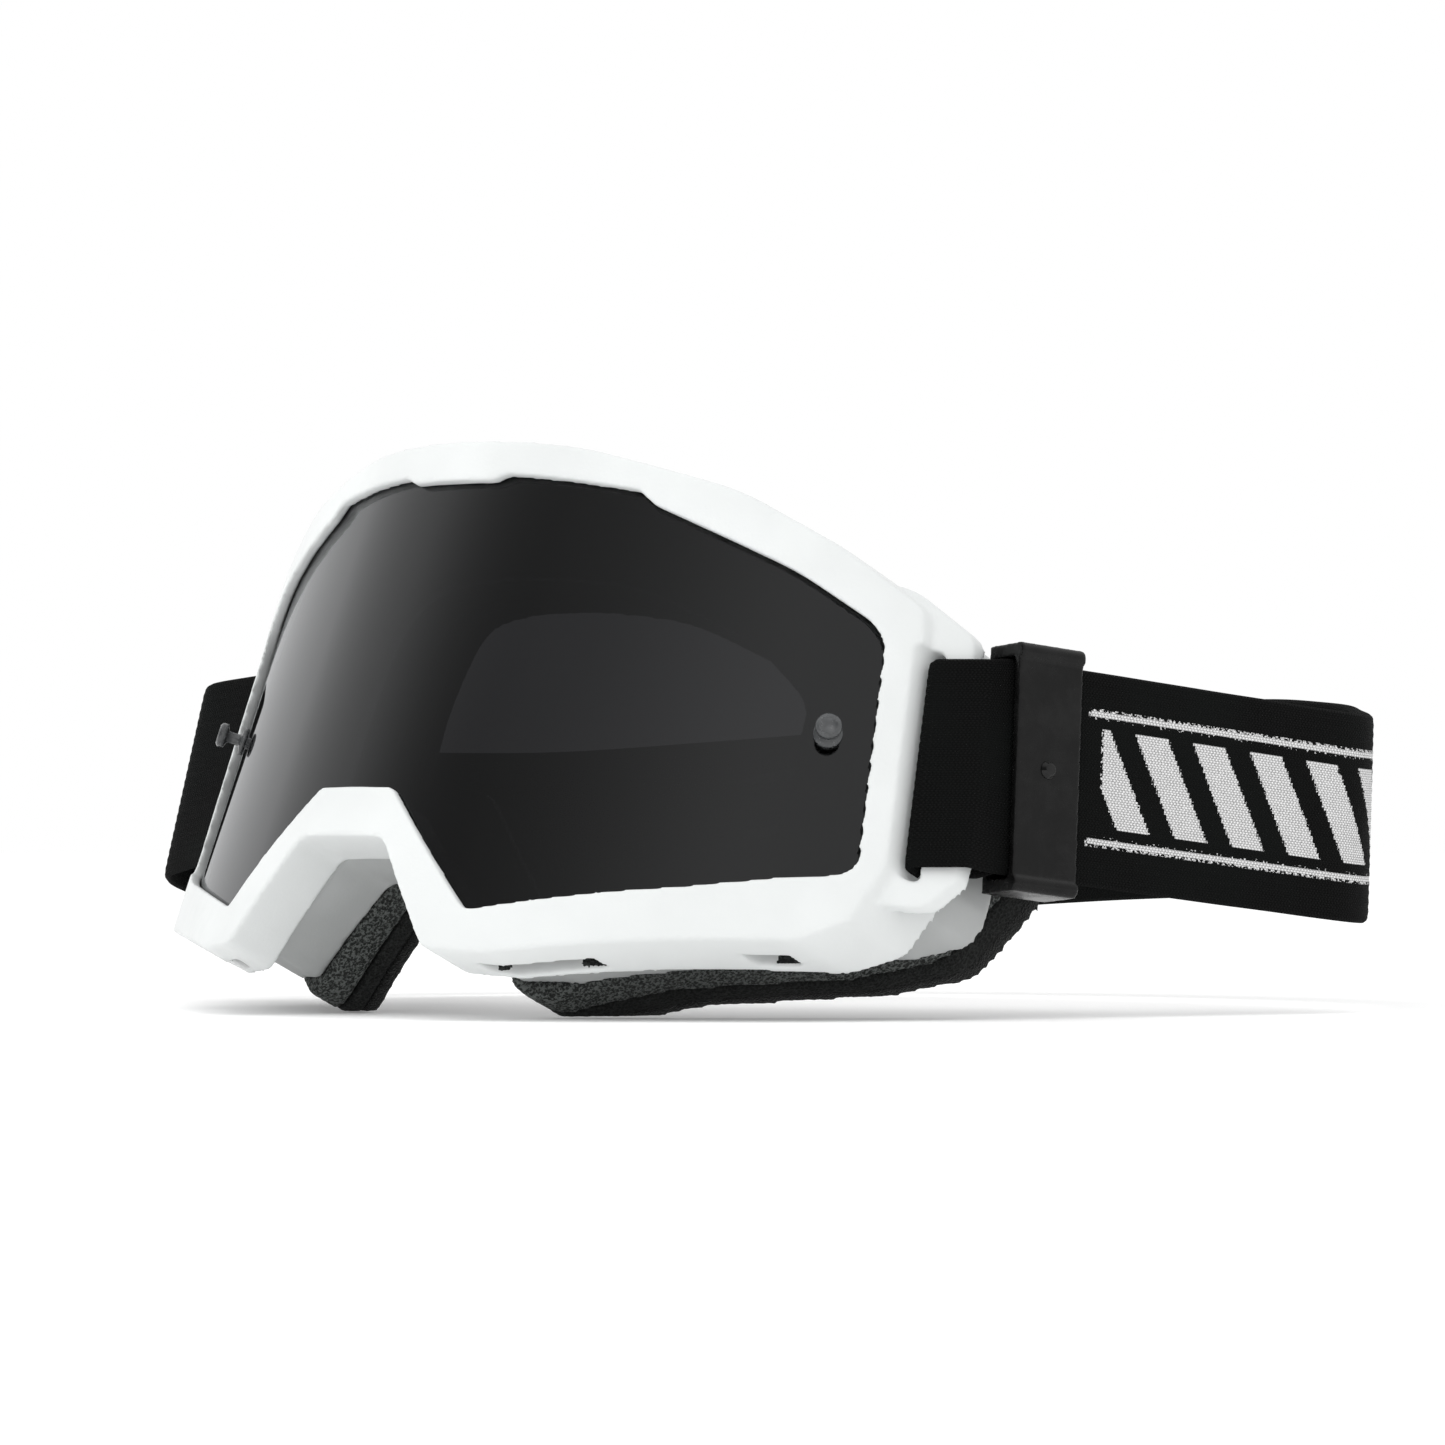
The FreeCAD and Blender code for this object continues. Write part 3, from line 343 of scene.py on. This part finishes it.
def remeshed(node, voxel, passes):
    """A CAD node's mesh as an even skin, relaxed so that its corners round off."""
    mesh = NODES[node].data.copy()
    bm = bmesh.new()
    bm.from_mesh(mesh)
    bmesh.ops.remove_doubles(bm, verts=bm.verts, dist=1e-6)
    bm.to_mesh(mesh)
    bm.free()
    obj = bpy.data.objects.new("work", mesh)
    bpy.context.scene.collection.objects.link(obj)
    skin = obj.modifiers.new("skin", "REMESH")
    skin.mode, skin.voxel_size = "VOXEL", voxel
    relax = obj.modifiers.new("relax", "SMOOTH")
    relax.factor, relax.iterations = 0.5, passes
    shape = obj.evaluated_get(bpy.context.evaluated_depsgraph_get())
    result = bpy.data.meshes.new_from_object(shape)
    bpy.data.objects.remove(obj)
    bpy.data.meshes.remove(mesh)
    return result


def coords(mesh):
    co = np.empty(len(mesh.vertices) * 3)
    mesh.vertices.foreach_get("co", co)
    return co.reshape(-1, 3)


def normals(mesh):
    no = np.empty(len(mesh.vertices) * 3)
    mesh.vertices.foreach_get("normal", no)
    return no.reshape(-1, 3)


def roughen(mesh, height, size):
    """Pits the skin inwards by up to height, with features about size across."""
    co, no = coords(mesh), normals(mesh)
    deep = np.array([noise.noise(Vector(c) / size) for c in co])
    co -= no * ((deep * 0.5 + 0.5) * height)[:, None]
    mesh.vertices.foreach_set("co", co.ravel())
    mesh.update()


def skin_piece(name, node, material, voxel, passes, body="goggles", pits=0.0, size=1.0):
    mesh = remeshed(node, voxel * MM, passes)
    if pits:
        roughen(mesh, pits * MM, size * MM)
    return add_piece(name, mesh, material, body, node)


# ---------------------------------------------------------------- frame, skirt and foams
shell = skin_piece("frame_shell", "frame_rim", WHITE, 0.42, 12)
skin_piece("skirt_shell", "face_skirt", SKIRT_PAINTED_SHADE, 0.6, 6)
for label, node, material, slot in (("foam_firm", "foam_base", CHARCOAL, "foam_charcoal"),
                                    ("foam_soft", "foam_mid", BLACK_FOAM, "foam_black"),
                                    ("foam_face", "foam_fleece", FLEECE, "fleece_black")):
    pad = skin_piece(label, node, material, 0.7, 9, pits=0.22, size=0.9)
for node in ("vent_mesh_top", "vent_mesh_bottom_right", "vent_mesh_bottom_left"):
    pad = skin_piece(node.replace("vent_mesh", "filter"), node, MESH, 0.6, 3,
                     pits=0.5, size=0.8)

for node in ("post_clip_right", "post_clip_left"):
    for place in NODES[node].material_slots:
        place.material = POST


# ---------------------------------------------------------------- lens
NOSE_RADIUS, SIDE_RADIUS, BEND = 72.0, 160.0, math.radians(21.8)
NOSE_HALF = NOSE_RADIUS * math.sin(BEND)
SIDE_X = (NOSE_RADIUS - SIDE_RADIUS) * math.sin(BEND)
SIDE_Y = NOSE_RADIUS + (SIDE_RADIUS - NOSE_RADIUS) * math.cos(BEND)
LENS_CORNER = (84.65, -27.6)
LENS_EDGE = ((0.0, 32.3), (8.9, 32.3), (12.2, 33.7), (37.8, 33.7), (41.2, 31.4), (64.7, 24.9),
             (79.7, 17.7), LENS_CORNER, (84.4, -28.6), (62.8, -39.1), (29.0, -52.0), (7.8, -31.0),
             (0.0, -31.0))
LENS_THICK, LENS_HALF = 1.2, 84.6
LENS_COLUMNS, LENS_ROWS = 227, 20


def on_lens(x, back):
    """Plan point and outward normal of the lens's two-arc profile, in mm."""
    side, x = (-1.0, -x) if x < 0 else (1.0, x)
    if x <= NOSE_HALF:
        cx, cy, radius = 0.0, NOSE_RADIUS, NOSE_RADIUS
    else:
        cx, cy, radius = SIDE_X, SIDE_Y, SIDE_RADIUS
    angle = math.asin((x - cx) / radius)
    nx, ny = math.sin(angle), -math.cos(angle)
    return side * (cx + nx * (radius - back)), cy + ny * (radius - back)


def leaned(x, y, z):
    """A point of the upright frame, in mm, in the resting frame in metres."""
    c, s = math.cos(LEAN), math.sin(LEAN)
    return Vector((x + REST[0], y * c + z * s + REST[1], z * c - y * s + REST[2])) * MM


def lens_mesh():
    """The lens as two smooth grids, 1.2 mm apart, joined round their edges."""
    upper = [(x, z) for x, z in LENS_EDGE if z > 0] + [LENS_CORNER]
    lower = [(x, z) for x, z in LENS_EDGE[::-1] if z < 0]
    xs = np.linspace(-LENS_HALF, LENS_HALF, LENS_COLUMNS)
    top = np.interp(np.abs(xs), *zip(*upper))
    low = np.interp(np.abs(xs), *zip(*sorted(lower)))
    rows = LENS_ROWS
    bm = bmesh.new()
    grids = []
    for back in (0.0, LENS_THICK):
        grid = []
        for x, hi, lo in zip(xs, top, low):
            px, py = on_lens(x, back)
            grid.append([bm.verts.new(leaned(px, py, lo + (hi - lo) * k / rows))
                         for k in range(rows + 1)])
        grids.append(grid)
    front, rear = grids
    for i in range(len(xs) - 1):
        for k in range(rows):
            bm.faces.new([front[i][k], front[i + 1][k], front[i + 1][k + 1], front[i][k + 1]])
            bm.faces.new([rear[i][k + 1], rear[i + 1][k + 1], rear[i + 1][k], rear[i][k]])
        for k in (0, rows):
            bm.faces.new([front[i][k], rear[i][k], rear[i + 1][k], front[i + 1][k]][::-1 if k else 1])
    for i in (0, -1):
        for k in range(rows):
            bm.faces.new([front[i][k], front[i][k + 1], rear[i][k + 1], rear[i][k]][::-1 if i else 1])
    return mesh_of(bm, "lens_sheet")


# ---------------------------------------------------------------- vent windows under the frame, painted on its skin as dark foam with painted shade
VENTS = ((31.0, 52.0), (70.0, 78.5))        # their spans on each side, in mm from the middle
VENT_FRONT, VENT_BACK = 3.3, 7.5            # behind the lens's surface
VENT_SKIN, VENT_ROOF = 0.75, 0.6            # left white at the frame's outside and at the lens
RIM_BOTTOM = ((24.2, -58.0), (34.5, -57.0), (53.0, -50.6), (78.0, -42.0), (83.6, -36.0))
LENS_BOTTOM = ((29.4, -49.8), (62.0, -37.4), (82.8, -27.4))


def paint_vent_foam_and_shade(obj):
    """Paints the frame's skin with dark filter foam where the vent windows are, from a little inside
    the skin: the foam's own colour, with painted shade in place of the recessed holes.
    """
    mesh = obj.data
    mesh.materials.append(MESH)
    centre = np.empty(len(mesh.polygons) * 3)
    mesh.polygons.foreach_get("center", centre)
    x, along, up = (centre.reshape(-1, 3) / MM - np.array(REST)).T
    x = np.abs(x)
    y = along * math.cos(LEAN) - up * math.sin(LEAN)
    z = along * math.sin(LEAN) + up * math.cos(LEAN)
    nose = x <= NOSE_HALF
    middle_x = np.where(nose, 0.0, SIDE_X)
    middle_y = np.where(nose, NOSE_RADIUS, SIDE_Y)
    back = np.where(nose, NOSE_RADIUS, SIDE_RADIUS) - np.hypot(x - middle_x, middle_y - y)
    between = (back > VENT_FRONT) & (back < VENT_BACK)
    floor = np.interp(x, *zip(*RIM_BOTTOM)) + VENT_SKIN
    ceiling = np.interp(x, *zip(*LENS_BOTTOM)) - VENT_ROOF
    spans = np.zeros(len(x), bool)
    for first, last in VENTS:
        spans |= (x > first) & (x < last)
    # painted shade: the solid frame's faces in the windows take the dark foam, in place of recessed,
    # shaded holes
    dark = between & spans & (z > floor) & (z < ceiling)
    mesh.polygons.foreach_set("material_index", dark.astype(np.int32))
    mesh.update()


paint_vent_foam_and_shade(shell)
lens = add_piece("lens_sheet", lens_mesh(), LENS, "goggles", "lens")
keep_edges = lens.modifiers.new("edges", "EDGE_SPLIT")
keep_edges.split_angle = math.radians(50)


# ---------------------------------------------------------------- turned posts
def lathe(name, section, foot, axis, steps=48):
    """Mesh turned round axis from foot, from (radius, height) pairs in mm."""
    axis = Vector(axis).normalized()
    e1 = axis.orthogonal().normalized()
    e2 = axis.cross(e1)
    bm = bmesh.new()
    rings = []
    for radius, height in section:
        centre = Vector(foot) + axis * (height * MM)
        if radius < 1e-6:
            rings.append([bm.verts.new(centre)])
            continue
        rings.append([bm.verts.new(centre + (e1 * math.cos(a) + e2 * math.sin(a)) * radius * MM)
                      for a in (2 * math.pi * k / steps for k in range(steps))])
    for low, high in zip(rings, rings[1:]):
        for k in range(steps):
            j = (k + 1) % steps
            corners = [low[k % len(low)], low[j % len(low)],
                       high[j % len(high)], high[k % len(high)]]
            corners = list(dict.fromkeys(corners))
            if len(corners) > 2:
                bm.faces.new(corners)
    return mesh_of(bm, name)


POST_SECTION = [(0, -1.95), (1.2, -1.95), (1.28, -1.85), (1.28, 0.02), (2.5, 0.04), (2.58, 0.14),
                (2.58, 0.72), (2.45, 0.86), (1.6, 1.02), (1.2, 1.2), (1.1, 1.45), (1.1, 3.2),
                (1.2, 3.5), (1.8, 3.72), (2.25, 3.84), (2.33, 4.0), (2.33, 4.75), (2.25, 5.0),
                (2.0, 5.22), (1.75, 5.34), (1.6, 5.36), (1.5, 5.28), (1.35, 5.12), (0, 5.08)]
POST_AXIS, NECK_PLACE = (0.66175, -0.68728, 0.29955), (0.074788, -0.057808, 0.050067)
NECK_HEIGHT = 2.4
for side, label in ((1, "right"), (-1, "left")):
    axis = Vector((side * POST_AXIS[0], *POST_AXIS[1:]))
    foot = Vector((side * NECK_PLACE[0], *NECK_PLACE[1:])) - axis * (NECK_HEIGHT * MM)
    add_piece(f"post_{label}", lathe(f"post_{label}", POST_SECTION, foot, axis), POST,
              "goggles", f"tear_off_post_{label}")


# ---------------------------------------------------------------- strap route, mm
def unit(v):
    return v / np.linalg.norm(v)


def mirror(p):
    return np.array([-p[0], p[1], p[2]])


W_SLOT = unit(np.array([-0.1013, 0.2936, 0.9505]))
W_RUN = unit(np.array([-0.0604, 0.1280, 0.9899]))
W_BACK = unit(np.array([0.0, 0.06, 1.0]))
SLOT_IN = np.array([85.3, -43.07, 42.55])
TURN = np.array([85.3, -47.49, 44.48])
START = np.array([92.5, -38.48, 44.48])
CALM = np.array([93.7, -33.15, 43.86])
BEHIND_SLOT = np.array([85.3, -40.71, 41.53])
BEHIND_BAR = np.array([90.5, -33.7, 40.43])
LEFT_BEND = np.array([-106.5, -43.48, 41.98])
LEFT_CALM = np.array([-111.9, -25.98, 37.98])
ROUTE = [(SLOT_IN, W_SLOT, 0), (TURN, W_SLOT, 1.2), (START, W_SLOT, 2.0), (CALM, W_RUN, 0),
         ((112.02, 47.92, 34.5), W_RUN, 9.0), ((80.0, 81.52, 37.48), W_BACK, 40.0),
         ((48.0, 99.52, 39.48), W_BACK, 70.0), ((0.0, 106.22, 37.98), W_BACK, 200.0),
         ((-58.0, 95.52, 33.98), W_BACK, 90.0), ((-100.5, 54.52, 29.48), W_BACK, 50.0),
         ((-112.4, 14.52, 29.48), W_BACK, 80.0), ((-112.7, -18.48, 35.98), mirror(W_RUN), 40.0),
         (LEFT_BEND, mirror(W_SLOT * 0.5 + W_RUN * 0.5), 9.0),
         (mirror(TURN), mirror(W_SLOT), 1.2),
         (mirror(SLOT_IN), mirror(W_SLOT), 0)]


def rounded(points, step):
    """Straight runs joined by tangent arcs, as (centre, width way) arrays."""
    out = [(np.array(points[0][0], float), np.array(points[0][1], float))]
    for i in range(1, len(points) - 1):
        a, b, c = (np.array(points[i + k][0], float) for k in (-1, 0, 1))
        w, radius = np.array(points[i][1], float), points[i][2]
        d1, d2 = unit(b - a), unit(c - b)
        turn = math.acos(max(-1.0, min(1.0, float(d1 @ d2))))
        if turn < 0.01 or radius == 0:
            out.append((b, w))
            continue
        room = 0.47 * min(np.linalg.norm(b - a), np.linalg.norm(c - b))
        cut = min(radius * math.tan(turn / 2), room)
        radius = cut / math.tan(turn / 2)
        centre = b + unit(d2 - d1) * math.hypot(radius, cut)
        arm = unit(b - d1 * cut - centre)
        count = max(4, int(math.ceil(radius * turn / step)))
        for k in range(count + 1):
            angle = turn * k / count
            out.append((centre + (arm * math.cos(angle) + d1 * math.sin(angle)) * radius, w))
    out.append((np.array(points[-1][0], float), np.array(points[-1][1], float)))
    return out


def evenly(stations, step, calm_from=14.0, blur=5.0):
    """Stations at even steps; past the folds at the slots their line is blurred smooth."""
    c = np.array([s[0] for s in stations])
    w = np.array([s[1] for s in stations])
    run = np.concatenate([[0], np.cumsum(np.linalg.norm(np.diff(c, axis=0), axis=1))])
    at = np.linspace(0, run[-1], int(run[-1] / step) + 1)
    c = np.array([np.interp(at, run, c[:, k]) for k in range(3)]).T
    w = np.array([np.interp(at, run, w[:, k]) for k in range(3)]).T
    half = int(3 * blur / step)
    kernel = np.exp(-0.5 * (np.arange(-half, half + 1) * step / blur) ** 2)
    kernel /= kernel.sum()

    def blurred(a):
        padded = np.concatenate([2 * a[0] - a[half:0:-1], a, 2 * a[-1] - a[-2:-half - 2:-1]])
        return np.array([np.convolve(padded[:, k], kernel, "valid") for k in range(3)]).T

    ends = np.clip((np.minimum(at, at[-1] - at) - calm_from) / 12.0, 0, 1)[:, None]
    c = c * (1 - ends) + blurred(c) * ends
    w = w * (1 - ends) + blurred(w) * ends
    return c, w / np.linalg.norm(w, axis=1)[:, None], at


def ribbon_frames(c, w):
    tangent = np.gradient(c, axis=0)
    tangent /= np.linalg.norm(tangent, axis=1)[:, None]
    out = np.cross(tangent, w)
    return tangent, out / np.linalg.norm(out, axis=1)[:, None]


def web_mesh(name, c, w, at, width, thick, flip=1.0, start_mm=0.0):
    """Webbing: a flat band with rounded selvedges, cord ribs and soft waves along its edges."""
    _, out = ribbon_frames(c, w)
    count_v = 2 * int(width / 2 / 0.42) + 1
    v = np.linspace(-1, 1, count_v)
    v = np.sign(v) * np.abs(v) ** 0.94
    high = np.sqrt(np.clip(1 - np.abs(v) ** 26, 0, 1)) * thick / 2
    cord = 0.05 * np.cos(2 * np.pi * v * width / 2 / 1.7) * (np.abs(v) < 0.96)
    selvedge = 0.05 * np.exp(-((np.abs(v) - 0.955) / 0.02) ** 2)
    phase = rng.uniform(0, 6.28, 4)
    wave = sum(np.sin(at / length + p) for length, p in zip((9.0, 5.3, 14.0, 3.1), phase)) / 4
    calm = np.clip((np.minimum(at, at[-1] - at) - 30.0) / 20.0, 0, 1)
    co, data = [], []
    for sign in (1.0, -1.0):
        side = (high + cord * (high > 0.2) + selvedge - 0.06 * (high > 0.2)) * sign
        ripple = np.outer(wave * calm, np.abs(v) ** 6) * 0.22
        pos = (c[:, None] + w[:, None] * (v * width / 2)[None, :, None]
               + out[:, None] * (side[None, :] + ripple)[:, :, None])
        co.append(pos)
        mark = np.zeros((len(c), count_v, 3))
        mark[:, :, 0] = (at + start_mm)[:, None]
        mark[:, :, 1] = v * width / 2
        mark[:, :, 2] = sign * flip > 0
        data.append(mark)
    n, m = len(c), count_v
    top = np.arange(n * m).reshape(n, m)
    low = top + n * m
    low[:, 0], low[:, -1] = top[:, 0], top[:, -1]
    faces = []
    for grid, order in ((top, -1), (low, 1)):
        quads = np.stack([grid[:-1, :-1], grid[1:, :-1], grid[1:, 1:], grid[:-1, 1:]], -1)
        faces += quads.reshape(-1, 4)[:, ::order].tolist()
    for row, order in ((0, 1), (-1, -1)):
        for k in range(m - 1):
            quad = [top[row, k], top[row, k + 1], low[row, k + 1], low[row, k]][::order]
            quad = list(dict.fromkeys(int(q) for q in quad))
            if len(quad) > 2:
                faces.append(quad)
    flat = np.concatenate([a.reshape(-1, 3) for a in co]) * MM
    marks = np.concatenate([a.reshape(-1, 3) for a in data])
    used = np.unique([q for f in faces for q in f])
    index = np.full(len(flat), -1)
    index[used] = np.arange(len(used))
    mesh = bpy.data.meshes.new(name)
    mesh.from_pydata(flat[used].tolist(), [], [[int(index[q]) for q in f] for f in faces])
    layer = mesh.attributes.new("strap_mm", "FLOAT_VECTOR", "POINT")
    layer.data.foreach_set("vector", marks[used].ravel())
    mesh.validate()
    face_outwards(mesh)
    return mesh


STRAP_WIDTH, STRAP_THICK = 38.0, 1.6
TAIL_WIDTH, TAIL_RUN, LAYER_GAP = 34.0, 66.0, 0.2
STEP = 0.7
strap = evenly(rounded(ROUTE, 1.0), STEP)
add_piece("strap_loop", web_mesh("strap_loop", *strap, STRAP_WIDTH, STRAP_THICK), WEB,
          "goggles", "strap_band")


def tail_line(side):
    """The tail's stations: out of the slot, behind the bar and along the strap's inside."""
    c, w, at = strap
    if side < 0:
        c, w, at = c[::-1], w[::-1], at[-1] - at[::-1]
    _, out = ribbon_frames(c, w)
    if side < 0:
        out = -out
    begin = CALM if side > 0 else LEFT_CALM
    first = int(np.argmin(np.linalg.norm(c - begin, axis=1)))
    lead = 4.0 if side > 0 else 0.0
    keep = (at >= at[first] + lead) & (at <= at[first] + TAIL_RUN)
    inner = c - out * (STRAP_THICK + LAYER_GAP)
    flip = (lambda p: p) if side > 0 else mirror
    path = [(flip(SLOT_IN), flip(W_SLOT), 0), (flip(BEHIND_SLOT), flip(W_SLOT), 1.0),
            (flip(BEHIND_BAR), flip(W_SLOT), 2.0)]
    path += [(p, q, 0) for p, q in zip(inner[keep], w[keep])]
    return evenly(rounded(path, 0.6), STEP, calm_from=8.0, blur=1.5)


# ---------------------------------------------------------------- tails, tacks and beads
def stitch(bm, a, b, up, radius):
    """One short thread from a to b, arched away from the cloth."""
    along = b - a
    length = along.length
    along.normalize()
    side = along.cross(up).normalized()
    rings = []
    for k, (t, r) in enumerate(((0, 0.25), (0.2, 0.9), (0.5, 1.0), (0.8, 0.9), (1, 0.25))):
        centre = a + along * (length * t) + up * (radius * 0.9 * math.sin(math.pi * t))
        rings.append([bm.verts.new(centre + (side * math.cos(q) + up * math.sin(q)) * radius * r)
                      for q in (2 * math.pi * j / 6 for j in range(6))])
    for low, high in zip(rings, rings[1:]):
        for j in range(6):
            bm.faces.new([low[j], low[(j + 1) % 6], high[(j + 1) % 6], high[j]])
    bm.faces.new(rings[0][::-1])
    bm.faces.new(rings[-1])


TACK_HALF, TACK_STEP, TACK_NEAR, TACK_FAR = 15.0, 0.8, 4.6, 2.4
THREAD_RADIUS = 0.2


def strap_end(side, label):
    """One sewn tail and the zigzag bar tack near its end."""
    c, w, at = tail_line(side)
    add_piece(f"strap_end_{label}",
              web_mesh(f"strap_end_{label}", c, w, at, TAIL_WIDTH, STRAP_THICK), WEB_PLAIN,
              "goggles", f"strap_tail_{label}")
    _, out = ribbon_frames(c, w)
    inward = -out * side
    bm = bmesh.new()
    rows = np.arange(-TACK_HALF, TACK_HALF + 0.01, TACK_STEP)
    near, far = (int(np.argmin(np.abs(at - (at[-1] - back)))) for back in (TACK_NEAR, TACK_FAR))
    lift = STRAP_THICK / 2 + 0.06
    for k, v in enumerate(rows):
        first, last = (near, far) if k % 2 else (far, near)
        ends = [Vector((c[i] + w[i] * q + inward[i] * lift) * MM)
                for i, q in ((first, v - TACK_STEP / 2), (last, v + TACK_STEP / 2))]
        stitch(bm, *ends, Vector(inward[near]), THREAD_RADIUS * MM)
    add_piece(f"tack_{label}", mesh_of(bm, f"tack_{label}"), THREAD, "goggles",
              f"bar_tack_{label}")


BEAD_PITCH, BEAD_RADIUS, BEAD_SWAY = 11.0, 0.5, 0.5


def bead(label, node, rise):
    """One wavy silicone bead inside the back of the strap, rise mm above its middle."""
    c, w, at = strap
    _, out = ribbon_frames(c, w)
    back = (c[:, 1] > 80.5) & (np.abs(c[:, 0]) < 75.0)
    c, w, out, at = c[back], w[back], out[back], at[back]
    angles = np.linspace(0, math.pi, 9)
    swell = np.clip(np.minimum(at - at[0], at[-1] - at) / 1.2, 0.05, 1) ** 0.5
    sway = BEAD_SWAY * np.sin(at / 4.2)
    ring = (c[:, None] + w[:, None] * ((rise + sway)[:, None]
                                       + np.cos(angles)[None] * swell[:, None])[:, :, None]
            - out[:, None] * (STRAP_THICK / 2 + 0.02
                              + np.sin(angles)[None] * BEAD_RADIUS * swell[:, None])[:, :, None])
    n, m = ring.shape[:2]
    grid = np.arange(n * m).reshape(n, m)
    faces = [[int(grid[i, j]), int(grid[i + 1, j]), int(grid[i + 1, (j + 1) % m]),
              int(grid[i, (j + 1) % m])] for i in range(n - 1) for j in range(m)]
    faces += [[int(q) for q in grid[0]], [int(q) for q in grid[-1]][::-1]]
    mesh = bpy.data.meshes.new(label)
    mesh.from_pydata((ring.reshape(-1, 3) * MM).tolist(), [], faces)
    face_outwards(mesh)
    add_piece(label, mesh, SILICONE, "goggles", node)


for side, label in ((1, "right"), (-1, "left")):
    strap_end(side, label)
for label, node, rise in (("bead_upper", "grip_bead_top", BEAD_PITCH),
                          ("bead_centre", "grip_bead_middle", 0.0),
                          ("bead_lower", "grip_bead_bottom", -BEAD_PITCH)):
    bead(label, node, rise)

# ---------------------------------------------------------------- keeper
skin_piece("keeper_loop", "keeper_sleeve", KEEPER, 0.28, 5, body="keeper")
skin_piece("keeper_rivet", "keeper_stud", STUD, 0.1, 3, body="keeper")


# ---------------------------------------------------------------- stage and light
def stage_floor():
    bm = bmesh.new()
    bmesh.ops.create_grid(bm, x_segments=2, y_segments=2, size=8.0)
    mesh = bpy.data.meshes.new("floor")
    bm.to_mesh(mesh)
    bm.free()
    floor = bpy.data.objects.new("floor", mesh)
    bpy.context.scene.collection.objects.link(floor)
    floor.location.z = -0.0002
    t = Tree("pale_floor")
    mesh.materials.append(t.done(t.principled(
        Base_Color=grey(0.9), Roughness=0.9, Specular_IOR_Level=0.1,
        Emission_Color=grey(1.0), Emission_Strength=0.16)))


def soft_light(name, place, aim, size, power):
    data = bpy.data.lights.new(name, "AREA")
    data.shape, data.size, data.energy = "DISK", size, power
    lamp = bpy.data.objects.new(name, data)
    bpy.context.scene.collection.objects.link(lamp)
    lamp.location = place
    way = Vector(aim) - Vector(place)
    lamp.rotation_euler = way.to_track_quat("-Z", "Y").to_euler()
    lamp.visible_glossy = False


stage_floor()
soft_light("key", (0.5, -1.0, 1.5), (0, 0, 0.05), 1.2, 9.0)
soft_light("fill", (-1.4, -0.8, 0.9), (0, 0, 0.05), 1.4, 5.0)


CARD_WAY = (-0.2, -0.98, 0.1)


def studio_world():
    """White all round; a soft black card in front darkens what glossy faces mirror."""
    world = bpy.data.worlds.new("studio")
    world.use_nodes = True
    nt = world.node_tree
    card = nt.nodes.new("ShaderNodeVectorMath")
    card.operation = "DOT_PRODUCT"
    nt.links.new(nt.nodes.new("ShaderNodeTexCoord").outputs["Generated"], card.inputs[0])
    card.inputs[1].default_value = CARD_WAY
    fade = nt.nodes.new("ShaderNodeMapRange")
    fade.interpolation_type = "SMOOTHSTEP"
    for key, value in (("From Min", 0.55), ("From Max", 0.98), ("To Min", 1.0),
                       ("To Max", 0.12)):
        fade.inputs[key].default_value = value
    nt.links.new(card.outputs["Value"], fade.inputs["Value"])
    path = nt.nodes.new("ShaderNodeLightPath")
    mix = nt.nodes.new("ShaderNodeMix")
    mix.inputs[2].default_value = 1.0
    nt.links.new(path.outputs["Is Glossy Ray"], mix.inputs[0])
    nt.links.new(fade.outputs[0], mix.inputs[3])
    nt.links.new(mix.outputs[0], nt.nodes["Background"].inputs["Strength"])
    nt.nodes["Background"].inputs["Color"].default_value = (1, 1, 1, 1)
    bpy.context.scene.world = world


studio_world()
bpy.context.scene.view_settings.view_transform = "Standard"
